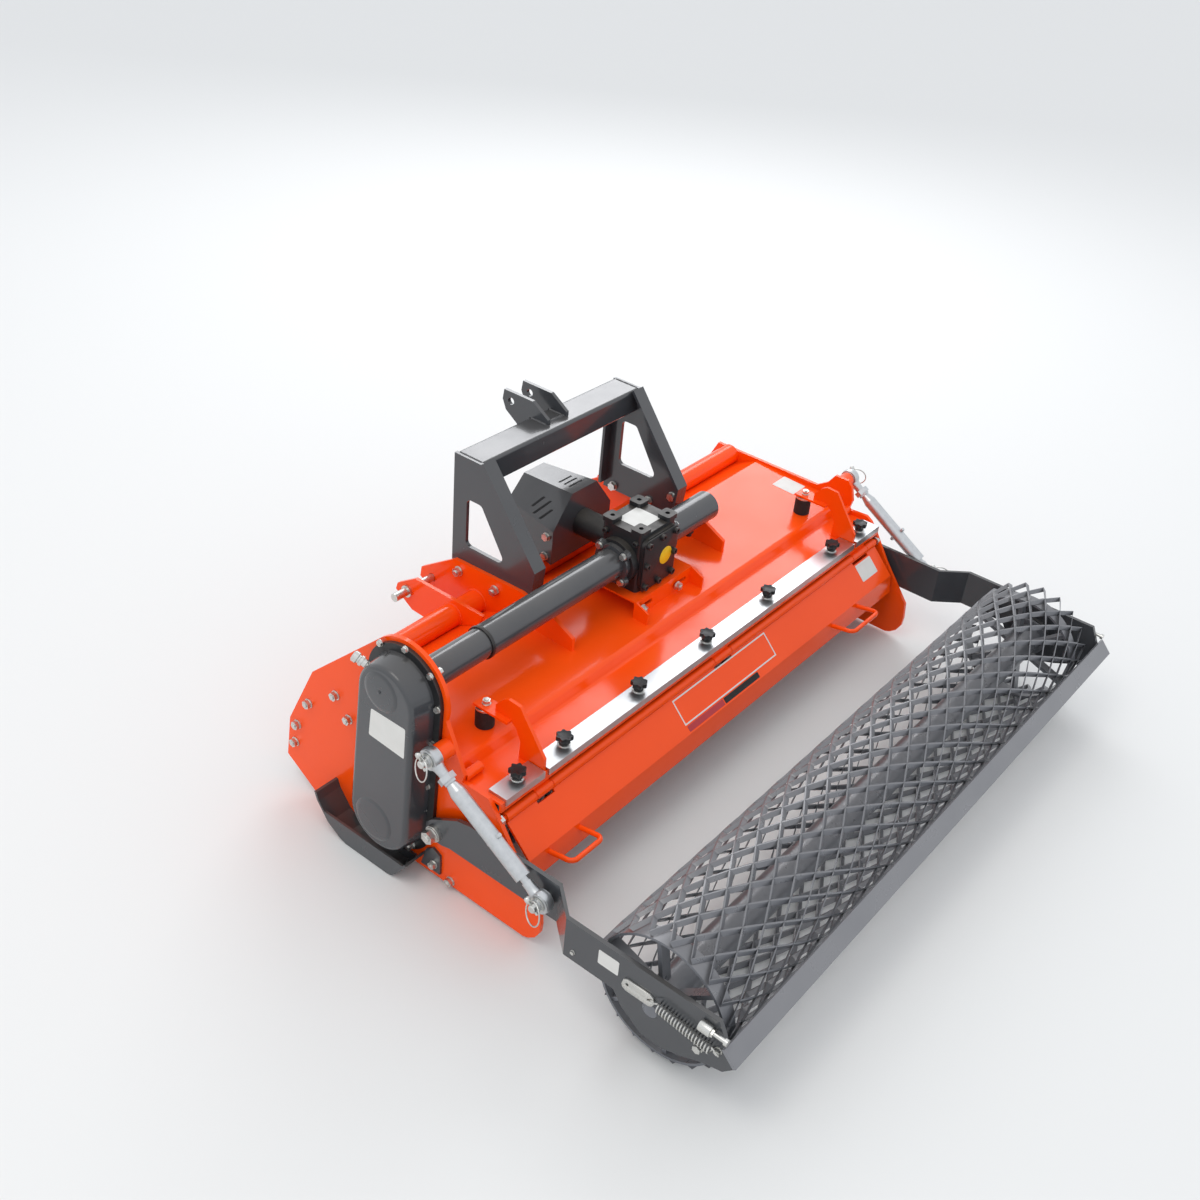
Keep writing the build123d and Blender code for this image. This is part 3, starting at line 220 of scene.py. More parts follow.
# This black is the rubber of the buffers, and it also serves as painted shade in the guard's vent slots.
black_rubber_and_shade = make_finish("black_rubber_and_painted_shade", "1C1C1D", "141414", 0.7, cloud_mm=12.0, grain_mm=1.0, bump=0.4)

# %% [markdown]
# Each solid takes one finish. The list below reads like the paint shop's sheet: orange for the hood,
# its side plates and the door, dark grey for the mast, tubes, arms and skids, and bare or plated
# metal for what is bought in.

# %% Give every solid its finish
finish_sheet = [
    (orange_coat, ["side_plate_left", "side_plate_right", "hood_shell", "front_tube", "hitch_inner_plates",
                   "hitch_outer_plates", "gearbox_bracket", "buffer_arms", "door_hinge", "rear_door",
                   "door_handles"]),
    (grey_coat, ["torque_tube_left", "torque_tube_right", "mast_plates", "mast_flanges", "mast_tube",
                 "clevis_plates", "pto_guard", "gear_case_cover", "rotor_bearing", "rotor_tube",
                 "selector_grid", "skid_left", "skid_right", "roller_arm_left", "roller_arm_right"]),
    (black_coat, ["gear_case_flange"]),
    (cast_black, ["gearbox"]),
    (bare_steel, ["input_shaft", "rotor_blades"]),
    (stainless, ["clamp_strips"]),
    (zinc_plate, ["hitch_pins", "arm_pivot_pins", "scraper_springs"]),
    (galvanised, ["adjuster_pins", "adjuster_barrel_left", "adjuster_barrel_right", "adjuster_rod_left",
                  "adjuster_rod_right"]),
    (mesh_coat, ["roller_shaft", "roller_bands", "roller_mesh"]),
    (scraper_coat, ["scraper"]),
    (knob_nylon, ["strip_knobs"]),
    (black_rubber_and_shade, ["rubber_buffers"]),
]
for finish, node_names in finish_sheet:
    for node_name in node_names:
        for slot in bpy.data.objects[node_name].material_slots:
            slot.material = finish
print("finished solids:", sum(len(node_names) for finish, node_names in finish_sheet))

# %% [markdown]
# ## Bench tools
# The new pieces are modelled as they would be by hand: a primitive is added, shaped in edit mode and
# finished with a modifier. A few steps come back for every piece, so they are written once here. All
# lengths from here on are in millimetres, as on a drawing, and MM turns them into Blender's metres.
# What stands on both sides is made for each value of sides, -1 on the left and 1 on the right.

# %% Select, pick and place
MM = 0.001
left, right, rear, front, up = (-1, 0, 0), (1, 0, 0), (0, -1, 0), (0, 1, 0), (0, 0, 1)
straight_down = Vector((0.0, 0.0, -1.0))
sides = (-1.0, 1.0)


def only(piece):
    if bpy.context.object and bpy.context.object.mode != "OBJECT":
        bpy.ops.object.mode_set(mode="OBJECT")
    bpy.ops.object.select_all(action="DESELECT")
    if piece:
        piece.select_set(True)
        bpy.context.view_layer.objects.active = piece


def pick(piece, kind, test):
    only(piece)
    bpy.ops.object.mode_set(mode="EDIT")
    bpy.ops.mesh.select_mode(type=kind)
    bpy.ops.mesh.select_all(action="DESELECT")
    shape = bmesh.from_edit_mesh(piece.data)
    for part in {"FACE": shape.faces, "EDGE": shape.edges, "VERT": shape.verts}[kind]:
        if test(part):
            part.select_set(True)
    bmesh.update_edit_mesh(piece.data)


def stand(piece, place, direction=(0.0, 0.0, 1.0), turn=0.0, size=1.0):
    aim = Vector(direction).to_track_quat("Z", "Y").to_matrix().to_4x4()
    only(piece)
    piece.matrix_world = (Matrix.Translation(Vector(place) * MM) @ aim
                          @ Matrix.Rotation(turn, 4, "Z") @ Matrix.Scale(size, 4))
    bpy.ops.object.transform_apply(location=True, rotation=True, scale=True)
    return piece


def twin(piece):
    copy = piece.copy()
    copy.data = piece.data.copy()
    bpy.context.collection.objects.link(copy)
    return copy


# %% [markdown]
# Two ways of drawing cover most metalwork. A turned part, such as a washer or a plug, starts as one
# point that is extruded along a profile and spun about its axis. A cut plate starts as one point that
# is extruded round the outline, filled, and pulled out to its thickness.

# %% Turn a profile, cut a plate
def face_outwards():
    bpy.ops.mesh.select_all(action="SELECT")
    bpy.ops.mesh.normals_make_consistent(inside=False)
    bpy.ops.object.mode_set(mode="OBJECT")


def first_point(place):
    only(None)
    bpy.ops.mesh.primitive_plane_add(size=0.01, location=(0.0, 0.0, 0.0))
    bpy.ops.object.mode_set(mode="EDIT")
    bpy.ops.mesh.select_mode(type="VERT")
    bpy.ops.mesh.select_all(action="SELECT")
    bpy.ops.mesh.merge(type="CENTER")
    bpy.ops.transform.translate(value=Vector(place) * MM)
    return bpy.context.object


def draw_on(points):
    for start, end in zip(points, points[1:]):
        step = (Vector(end) - Vector(start)) * MM
        bpy.ops.mesh.extrude_vertices_move(TRANSFORM_OT_translate={"value": step})


def turned(profile, steps=24):
    points = [(radius, 0.0, height) for radius, height in profile]
    piece = first_point(points[0])
    draw_on(points)
    bpy.ops.mesh.select_all(action="SELECT")
    bpy.ops.mesh.spin(steps=steps, angle=math.tau, center=(0.0, 0.0, 0.0), axis=(0.0, 0.0, 1.0))
    bpy.ops.mesh.select_all(action="SELECT")
    bpy.ops.mesh.remove_doubles(threshold=0.00001)
    face_outwards()
    return piece


def cut_plate(points, thickness):
    piece = first_point(points[0])
    draw_on(points)
    bpy.ops.mesh.select_all(action="SELECT")
    bpy.ops.mesh.edge_face_add()
    bpy.ops.mesh.extrude_region_move(TRANSFORM_OT_translate={"value": Vector(thickness) * MM})
    face_outwards()
    return piece


# %% [markdown]
# Sheet edges are never knife-sharp, so a small bevel goes on them and catches the light. Holes are
# drilled with a boolean, and bent wire is a curve with a round section, made into a mesh.

# %% Round the edges, drill, bend wire
def soften(piece, width, angle=35.0):
    only(piece)
    rounding = piece.modifiers.new("rounding", "BEVEL")
    rounding.width = width * MM
    rounding.segments = 2
    rounding.limit_method = "ANGLE"
    rounding.angle_limit = math.radians(angle)
    bpy.ops.object.modifier_apply(modifier=rounding.name)


def drill(piece, place, direction, radius, depth):
    only(None)
    bpy.ops.mesh.primitive_cylinder_add(vertices=16, radius=radius * MM, depth=depth * MM)
    bit = stand(bpy.context.object, place, direction)
    only(piece)
    cut = piece.modifiers.new("hole", "BOOLEAN")
    cut.operation = "DIFFERENCE"
    cut.object = bit
    bpy.ops.object.modifier_apply(modifier=cut.name)
    bpy.data.objects.remove(bit, do_unlink=True)


def wire(points, radius, closed=False):
    only(None)
    line = bpy.data.curves.new("wire", "CURVE")
    line.dimensions = "3D"
    spline = line.splines.new("NURBS")
    spline.points.add(len(points) - 1)
    for spot, point in zip(spline.points, points):
        spot.co = [c * MM for c in point] + [1.0]
    spline.order_u = 3
    spline.use_endpoint_u = not closed
    spline.use_cyclic_u = closed
    line.resolution_u = 6
    line.bevel_depth = radius * MM
    line.bevel_resolution = 2
    line.use_fill_caps = True
    piece = bpy.data.objects.new("wire", line)
    bpy.context.collection.objects.link(piece)
    only(piece)
    bpy.ops.object.convert(target="MESH")
    return bpy.context.object


# %% [markdown]
# A finished piece is joined from its parts, coated, and told which moving body it rides on. Its
# triangles are printed, to keep an eye on the weight.

# %% Join, coat and hand over
piece_triangles = {}


def joined(parts):
    only(parts[0])
    for part in parts:
        part.select_set(True)
    if len(parts) > 1:
        bpy.ops.object.join()
    return bpy.context.object


def hand_over(name, parts, coat, body, smooth=35.0):
    piece = joined(parts)
    bpy.ops.object.transform_apply(location=True, rotation=True, scale=True)
    bpy.ops.object.shade_smooth_by_angle(angle=math.radians(smooth))
    piece.name = name
    piece.data.materials.clear()
    piece.data.materials.append(coat)
    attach(piece, body)
    piece_triangles[name] = sum(len(face.vertices) - 2 for face in piece.data.polygons)
    print(name, piece_triangles[name], "triangles")
    return piece


# %% [markdown]
# ## The mesh of the roller
# The roller's skin is expanded metal: a thick sheet is slit in rows and pulled open, which leaves
# diamond openings about 94 mm long and 50 mm across and tips every strand over by some 45 degrees. It
# could be made by repeating one strand, but a grid gives it without seams. A grid is rolled round the
# shaft, each cell is poked to its middle, and dissolving the grid's own lines leaves only diamonds. The
# bend tools need a window, so each point is rolled up by its own distance round the rim.

# %% Roll a grid and poke it into diamonds
roller_y, roller_z = -486.0, 160.0
lattice_left, lattice_right, lattice_r = -846.0, 848.0, 160.0
cells_along, cells_round = 18, 20

only(None)
bpy.ops.mesh.primitive_grid_add(x_subdivisions=cells_along, y_subdivisions=cells_round, size=1.0)
lattice = bpy.context.object
bpy.ops.object.mode_set(mode="EDIT")
sheet = bmesh.from_edit_mesh(lattice.data)
for point in sheet.verts:
    angle = point.co.y * math.tau
    along = lattice_left + (point.co.x + 0.5) * (lattice_right - lattice_left)
    point.co = Vector((along, lattice_r * math.cos(angle), lattice_r * math.sin(angle))) * MM
bmesh.update_edit_mesh(lattice.data)
bpy.ops.mesh.select_all(action="SELECT")
bpy.ops.mesh.remove_doubles(threshold=0.0001)
bpy.ops.mesh.poke()
bpy.ops.object.mode_set(mode="OBJECT")
print("grid faces:", len(lattice.data.polygons))


def is_grid_line(edge):
    run = edge.verts[1].co - edge.verts[0].co
    along_only = abs(run.x) > 0.95 * run.length
    round_only = abs(run.x) < 0.05 * run.length
    return len(edge.link_faces) == 2 and (along_only or round_only)


pick(lattice, "EDGE", is_grid_line)
bpy.ops.mesh.dissolve_edges(use_verts=False)
pick(lattice, "FACE", lambda face: len(face.verts) == 3)
bpy.ops.mesh.delete(type="FACE")
bpy.ops.object.mode_set(mode="OBJECT")
print("diamonds:", len(lattice.data.polygons))

# %% [markdown]
# An inset leaves a strand along every diamond's rim. The face inside is the opening, and its corners
# are rounded before it is deleted. The strands are then pulled inwards to their thickness, and the
# inner side is turned a little further round the roller than the outer, which tips every strand the
# same way.

# %% Open the diamonds, then thicken and tip the strands
strand_t, strand_depth, strand_tip = 3.6, 8.0, 8.5
opening_corner = 5.0


def to_radius(point, radius, turn=0.0):
    angle = math.atan2(point.co.z, point.co.y) + turn
    point.co.y = radius * MM * math.cos(angle)
    point.co.z = radius * MM * math.sin(angle)


for point in lattice.data.vertices:
    to_radius(point, lattice_r)
pick(lattice, "FACE", lambda face: True)
bpy.ops.mesh.normals_make_consistent(inside=False)
bpy.ops.mesh.inset(thickness=strand_t / 2.0 * MM, use_individual=True)
bpy.ops.mesh.bevel(offset=opening_corner * MM, segments=2, affect="VERTICES")
bpy.ops.mesh.delete(type="FACE")
bpy.ops.object.mode_set(mode="OBJECT")
for point in lattice.data.vertices:
    to_radius(point, lattice_r)
pick(lattice, "FACE", lambda face: True)
bpy.ops.mesh.extrude_region_move(TRANSFORM_OT_translate={"value": (0.0, 0.0, 0.0)})
skin = bmesh.from_edit_mesh(lattice.data)
for point in skin.verts:
    if point.select:
        to_radius(point, lattice_r - strand_depth, strand_tip / lattice_r)
bmesh.update_edit_mesh(lattice.data)
face_outwards()
lattice.data.transform(Matrix.Translation(Vector((0.0, roller_y, roller_z)) * MM))
roller_skin = hand_over("roller_expanded_mesh", [lattice], mesh_coat, "roller", 25.0)
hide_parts("roller_mesh")

# %% [markdown]
# A narrow hoop on flat spokes carries the mesh at its left end, and another a little inside its right
# end. The hoops are rolled strip, so each is a turned ring, and the spokes are cut from bar and welded
# to the roller's tube, which has a disc on it at each end.

# %% Hoops, spokes and end discs
hoop_r, hoop_inner_r, hoop_width = 150.5, 144.5, 36.0
disc_r, disc_hole_r, disc_t = 52.0, 17.6, 8.0
spoke_from, spoke_to, spoke_half, spoke_width = 36.0, 146.0, 5.0, 26.0
spoke_inset, first_spoke = 5.0, 0.35


def flat_ring(x, from_r, to_r, width, steps):
    ring = turned([(from_r, 0.0), (to_r, 0.0), (to_r, width), (from_r, width), (from_r, 0.0)], steps)
    return stand(ring, (x, roller_y, roller_z), right)


def spoke(x, angle):
    out = Vector((0.0, math.cos(angle), math.sin(angle)))
    flat = Vector((0.0, -out.z, out.y))
    hub = Vector((x, roller_y, roller_z))
    corners = [hub + spoke_from * out - spoke_half * flat, hub + spoke_to * out - spoke_half * flat,
               hub + spoke_to * out + spoke_half * flat, hub + spoke_from * out + spoke_half * flat]
    return cut_plate(corners, (spoke_width, 0.0, 0.0))


end_gear = []
for start in (-848.0, 764.0):
    end_gear.append(flat_ring(start, hoop_r, hoop_inner_r, hoop_width, 64))
    end_gear += [spoke(start + spoke_inset, first_spoke + k * math.tau / 6.0) for k in range(6)]
end_gear += [flat_ring(x, disc_hole_r, disc_r, disc_t, 32) for x in (-847.5, 839.5)]
hoops = hand_over("roller_hoops_and_spokes", end_gear, mesh_coat, "roller")
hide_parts("roller_bands")

# %% [markdown]
# ## Bolts, nuts and washers
# Most joints here are zinc-plated M12 and M10 bolts: a washer, then either a hexagon head or a nut
# with the end of the thread standing out of it. Each pattern is modelled once at M12 size, and copies
# are scaled to the others, each turned a little further than the last. A real thread is too fine to
# see from here, so its end is a short stub with one groove.

# %% The two patterns
hex_r, washer_t = 10.9, 2.5


def hexagon(radius, height):
    only(None)
    bpy.ops.mesh.primitive_cylinder_add(vertices=6, radius=radius * MM, depth=height * MM,
                                        location=(0.0, 0.0, height / 2.0 * MM))
    return bpy.context.object


washer = turned([(6.3, 0.0), (12.0, 0.0), (12.0, 2.2), (11.6, washer_t), (6.3, washer_t)], 20)
head = hexagon(hex_r, 7.5)
head.data.transform(Matrix.Translation((0.0, 0.0, washer_t * MM)))
head_pattern = joined([twin(washer), head])
nut = hexagon(hex_r, 10.0)
nut.data.transform(Matrix.Translation((0.0, 0.0, washer_t * MM)))
thread_end = turned([(6.0, 12.0), (6.0, 13.1), (5.6, 13.4), (6.0, 13.7), (6.0, 14.6), (5.2, 15.4),
                     (0.0, 15.4)], 14)
nut_pattern = joined([washer, nut, thread_end])
print("head faces:", len(head_pattern.data.polygons), "nut faces:", len(nut_pattern.data.polygons))


def copies(pattern, spots):
    return [stand(twin(pattern), place, direction, 0.4 * number, size)
            for number, (place, direction, size) in enumerate(spots)]


def both_sides(x, spots, size, outwards=1):
    return [((side * x, y, z), (side * outwards, 0, 0), size) for side in sides for y, z in spots]


def plated(name, parts, body="frame", smooth=35.0):
    return hand_over(name, parts, zinc_plate, body, smooth)


# %% [markdown]
# The places come from the photograph, taken back through the solved camera onto the plate that
# carries each bolt. The right-hand side isn't in view, and it repeats the left where it can.

# %% Bolts on the side plates, the gear case and the rotor's bearing
plate_face, skid_face, flange_face = 800.0, 806.0, 810.0
plate_spots = [(565.0, 270.0), (473.0, 345.0), (608.0, 184.0), (618.0, 126.0), (432.0, 300.0),
               (113.0, 22.0)]
side_bolts = []
for side in sides:
    side_bolts += [((side * plate_face, y, z), (side, 0, 0), 1.0) for y, z in plate_spots]
    side_bolts.append(((side * skid_face, 160.0, 46.0), (side, 0, 0), 0.9))
side_bolts.append(((-790.0, 174.0, 565.0), right, 0.7))
plated("side_plate_bolts", copies(nut_pattern, side_bolts))

case_rim = [(319.0, 574.0), (246.0, 596.0), (175.0, 566.0), (154.0, 491.0), (166.0, 393.0),
            (173.0, 330.0), (179.0, 268.0), (187.0, 197.0), (352.0, 500.0), (366.0, 400.0),
            (374.0, 300.0), (382.0, 200.0), (352.0, 70.0), (290.0, 46.0)]
case_low = [(214.0, 129.0), (226.0, 66.0)]
rim_bolts = copies(head_pattern, [((-flange_face, y, z), left, 0.66) for y, z in case_rim])
low_bolts = copies(nut_pattern, [((-flange_face, y, z), left, 1.05) for y, z in case_low])
plated("gear_case_bolts", rim_bolts + low_bolts)

rotor_y, rotor_z, bearing_bolt_r = 266.0, 172.0, 62.0
bearing_spots = []
for k in range(6):
    angle = math.tau * (k + 0.5) / 6.0
    y, z = rotor_y + bearing_bolt_r * math.cos(angle), rotor_z + bearing_bolt_r * math.sin(angle)
    bearing_spots.append(((flange_face, y, z), right, 0.8))
plated("rotor_bearing_bolts", copies(head_pattern, bearing_spots))

# %% [markdown]
# The hitch plates are bolted to the mast's feet inside them, with the nuts outwards, and the gearbox
# hangs between flanges on both torque tubes. The slotted web of its bracket lets it slide to tighten
# the chain.

# %% Bolts on the hitch, mast, gearbox and bracket
hitch_face, mast_face, tube_flange_x = 315.0, 295.0, 104.0
hitch_nuts = copies(nut_pattern, both_sides(hitch_face, [(564.0, 408.0), (444.0, 409.0)], 1.1))
mast_spots = [(564.0, 408.0), (444.0, 412.0), (369.0, 457.0)]
mast_heads = copies(head_pattern, both_sides(mast_face, mast_spots, 1.1, outwards=-1))
plated("hitch_bolts", hitch_nuts + mast_heads)

drive_y, drive_z = 264.0, 474.0
step = 52.0 * math.sqrt(0.5)
flange_spots = [(drive_y + y, drive_z + z) for y in (-step, step) for z in (-step, step)]
flange_heads = copies(head_pattern, both_sides(tube_flange_x, flange_spots, 0.78))
bracket_nuts = copies(nut_pattern, [((x, 174.0, 375.0), rear, 0.95) for x in (-78.0, 66.0)])
plated("gearbox_flange_bolts", flange_heads + bracket_nuts)

# %% [markdown]
# ## Helpers for what sits on a surface
# Labels, vents and welds lie on solids whose faces slope, so their corners are found by looking
# straight at the solid from outside, as a fitter would hold a sticker against it. A weld bead is a row
# of overlapping drops, each tipped along the run and a little larger or smaller than its neighbour.

# %% Find a face, run a bead, ring a tube with a bead
def hit(node_name, start, way):
    found, spot = bpy.data.objects[node_name].ray_cast(Vector(start) * MM, Vector(way))[:2]
    if not found:
        print("nothing met on", node_name, "from", tuple(start))
        return Vector(start)
    return spot / MM


drop = turned([(3.4, -2.2), (3.2, 0.2), (2.3, 1.6), (0.0, 2.3)], 8)
drop_pitch, ring_pitch = 3.6, 4.2


def bead(start, end, out, size=1.0):
    run = Vector(end) - Vector(start)
    count = max(2, int(run.length / (drop_pitch * size)))
    tipped = Vector(out) + 0.6 * run.normalized()
    return [stand(twin(drop), Vector(start) + run * ((k + 0.5) / count), tipped, 0.0,
                  size * (1.0 + 0.08 * math.sin(5.0 * k))) for k in range(count)]


def bead_ring(centre, radius, way, size):
    count = int(math.tau * radius / (ring_pitch * size))
    ring = []
    for k in range(count):
        angle = math.tau * k / count
        out = Vector((0.0, math.cos(angle), math.sin(angle)))
        tipped = out + Vector((way, 0.0, 0.0)) + 0.5 * out.cross(right)
        ring.append(stand(twin(drop), Vector(centre) + radius * out, tipped, 0.0, size))
    return ring


# %% [markdown]
# ## Fittings of the gear case
# The cover is a deep-drawn pan with two shallow round embossings where the shafts end behind it. A
# breather plug stands out of its front shoulder, and a blank label sits between the embossings. Each
# embossing is a turned disc under 3 mm proud with a soft edge, set on the pan's face.

# %% Embossings, centre pip and breather
case_face, emboss_t = -866.0, 2.6


def embossing(y, z, radius):
    disc = turned([(0.0, -4.0), (radius, -4.0), (radius, -0.5), (radius - 5.0, 2.0),
                   (radius - 12.0, emboss_t), (0.0, emboss_t)], 40)
    return stand(disc, (case_face, y, z), left)


pip = turned([(0.0, 0.0), (4.0, 0.0), (3.4, 2.2), (0.0, 3.2)], 14)
stand(pip, (case_face - emboss_t, 263.0, 508.0), left)
discs = [embossing(261.0, 507.0, 49.0), embossing(288.0, 138.0, 56.0)]
hand_over("gear_case_embossings", discs + [pip], grey_coat, "frame", 50.0)

plug = turned([(0.0, 0.0), (9.0, 0.0), (9.0, 9.0), (12.0, 9.0), (12.0, 15.0), (9.5, 16.5), (9.5, 20.0),
               (12.5, 21.5), (12.5, 31.0), (9.0, 34.0), (0.0, 34.5)], 20)
plated("gear_case_breather", [stand(plug, (-842.0, 328.0, 531.0), (-0.30, 0.86, 0.42))])

# %% [markdown]
# Labels, stickers and nameplates are left blank. Each is a thin white or coloured vinyl sheet with
# rounded corners, standing about half a millimetre proud of what it is stuck on.

# %% Blank vinyl, one function for every label
def vinyl(name, hex_colour, hex_shade, roughness=0.36):
    return make_finish(name, hex_colour, hex_shade, roughness, cloud_mm=30.0, grain_mm=2.0, bump=0.05,
                       bump_mm=0.05)


vinyl_white = vinyl("white_vinyl_label", "DDDCD8", "D3D2CD", 0.5)
vinyl_yellow = vinyl("yellow_vinyl_sticker", "F2C51B", "E6B80F")


def label(name, corners, lift, coat=vinyl_white, body="frame", corner_r=4.0):
    outward = Vector(lift).normalized()

    def stands_up(edge):
        return abs((edge.verts[1].co - edge.verts[0].co).normalized().dot(outward)) > 0.9

    sheet = cut_plate(corners, lift)
    pick(sheet, "EDGE", stands_up)
    bpy.ops.mesh.bevel(offset=corner_r * MM, segments=4, affect="EDGES")
    bpy.ops.object.mode_set(mode="OBJECT")
    return hand_over(name, [sheet], coat, body, 20.0)


def corners_of(x_from, x_to, y_from, y_to):
    return [(x_from, y_from), (x_to, y_from), (x_to, y_to), (x_from, y_to)]


case_corners = [(case_face + 0.2, y, z) for y, z in ((290.0, 450.0), (190.0, 450.0), (194.0, 369.0),
                                                     (298.0, 376.0))]
label("gear_case_label", case_corners, (-0.7, 0.0, 0.0))
arm_corners = [(-881.8, y, z) for z, y in corners_of(230.0, 193.0, -355.0, -405.0)]
label("arm_label", arm_corners, (-0.7, 0.0, 0.0), body="roller_frame", corner_r=3.0)

# %% [markdown]
# ## Adjusters
# Each screw adjuster ends in a forged eye with a ball in it, held on its pin by a washer and a linch
# pin, whose spring ring shows best in the photograph. A large jam nut locks the upper thread. The eye,
# ball and washers are turned parts; the ring is a circle of wire on a stubby pin.

# %% Forged eyes, balls and jam nuts
side_names = ((-1.0, "left"), (1.0, "right"))
adjuster_x, pin_tip_x, ring_r, wire_r = 848.0, 874.0, 26.0, 1.7
upper_pin, lower_pin = (133.0, 398.0), (-180.0, 208.0)
link = Vector((0.0, lower_pin[0] - upper_pin[0], lower_pin[1] - upper_pin[1])).normalized()


def pin_centre(side, pin):
    return Vector((side * adjuster_x, pin[0], pin[1]))


def eye_ring(side, pin):
    ring = turned([(13.5, -11.0), (20.0, -11.6), (24.6, -8.0), (25.8, -3.0), (25.8, 3.0), (24.6, 8.0),
                   (20.0, 11.6), (13.5, 11.0), (13.5, -11.0)], 36)
    return stand(ring, pin_centre(side, pin), (side, 0, 0))


def eye_neck(side, pin, way, length):
    neck = turned([(0.0, 0.0), (15.0, 0.0), (12.5, 8.0), (11.4, 18.0), (11.4, length), (0.0, length)], 20)
    return stand(neck, pin_centre(side, pin) + 20.0 * way, way)


def ball_and_washer(side, pin):
    ball = turned([(0.0, -13.0), (9.0, -13.0), (12.4, -8.0), (13.4, 0.0), (12.4, 8.0), (9.0, 13.0),
                   (0.0, 13.0)], 28)
    outer = turned([(0.0, 12.0), (17.0, 12.0), (17.0, 14.6), (9.2, 15.4), (9.2, 31.0), (7.6, 33.0),
                    (0.0, 33.0)], 24)
    return [stand(part, pin_centre(side, pin), (side, 0, 0)) for part in (ball, outer)]


def jam_nut(side):
    return stand(hexagon(20.0, 14.0), pin_centre(side, upper_pin) + 53.0 * link, link, turn=0.26)


def cross_pin(side):
    place = pin_centre(side, upper_pin) + 210.0 * link
    square = Vector((0.0, -link.z, link.y))
    pin = turned([(0.0, -27.0), (4.5, -27.0), (5.2, -26.0), (5.2, 26.0), (4.5, 27.0), (0.0, 27.0)], 14)
    collar = turned([(5.0, 16.0), (8.5, 16.0), (7.5, 19.5), (5.0, 19.5)], 14)
    return [stand(part, place, square) for part in (pin, collar)]


for side, name in side_names:
    upper_eye = [eye_ring(side, upper_pin), eye_neck(side, upper_pin, link, 34.0), jam_nut(side)]
    hand_over("adjuster_upper_eye_" + name, upper_eye + cross_pin(side), galvanised, "barrel_" + name)
    lower_eye = [eye_ring(side, lower_pin), eye_neck(side, lower_pin, -link, 30.0)]
    hand_over("adjuster_lower_eye_" + name, lower_eye, galvanised, "rod_" + name)
    plated("adjuster_upper_ball_" + name, ball_and_washer(side, upper_pin))
    plated("adjuster_lower_ball_" + name, ball_and_washer(side, lower_pin), "roller_frame")

# %% Linch pins with their rings
def linch_pin(side, pin, lean):
    tip = Vector((side * pin_tip_x, pin[0], pin[1]))
    along = Vector((0.0, math.sin(lean), math.cos(lean)))
    shank = turned([(0.0, -16.0), (3.0, -16.0), (3.6, -14.0), (3.6, 14.0), (6.5, 16.0), (6.5, 24.0),
                    (3.0, 27.0), (0.0, 27.0)], 14)
    middle = tip - 8.0 * along + Vector((side * 8.0, 0.0, 0.0))
    flat = Vector((side * 0.9, 0.35, 0.2)).normalized()
    first = flat.cross(along).normalized()
    second = flat.cross(first)
    loop = [middle + ring_r * (math.cos(a) * first + math.sin(a) * second)
            for a in (math.tau * k / 20.0 for k in range(20))]
    return [stand(shank, tip, along), wire(loop, wire_r, closed=True)]


for side, name in side_names:
    plated("upper_linch_pin_" + name, linch_pin(side, upper_pin, 0.6), "frame", 60.0)
    plated("lower_linch_pin_" + name, linch_pin(side, lower_pin, 0.9), "roller_frame", 60.0)

# %% [markdown]
# ## Spring gear of the scraper
# On each arm an extension spring pulls the scraper bar back against its stop screw. The spring hooks
# into a zinc tab bolted to the arm and into an eye under the bar. A coil is a small circle of wire
# carried up and round by the Screw modifier, so its pitch and turns are real numbers: 18 turns of
# 3.4 mm wire, about 7 mm apart.

# %% Coil, hooks, tab and stop screw
arm_face, spring_x, stop_x = 882.0, 892.5, 890.8
coil_r, coil_turns, stop_way = 8.6, 18, (0.0, -1.0, -0.03)


def coil(start, end):
    only(None)
    bpy.ops.mesh.primitive_circle_add(vertices=8, radius=wire_r * MM, location=(coil_r * MM, 0.0, 0.0),
                                      rotation=(math.pi / 2.0, 0.0, 0.0))
    piece = bpy.context.object
    bpy.ops.object.transform_apply(location=True, rotation=True, scale=True)
    winding = piece.modifiers.new("winding", "SCREW")
    winding.axis = "Z"
    winding.angle = math.tau
    winding.steps = 16
    winding.render_steps = 16
    winding.iterations = coil_turns
    winding.screw_offset = (Vector(end) - Vector(start)).length / coil_turns * MM
    winding.use_normal_calculate = True
    bpy.ops.object.modifier_apply(modifier="winding")
    pick(piece, "FACE", lambda face: True)
    face_outwards()
    return stand(piece, start, Vector(end) - Vector(start))


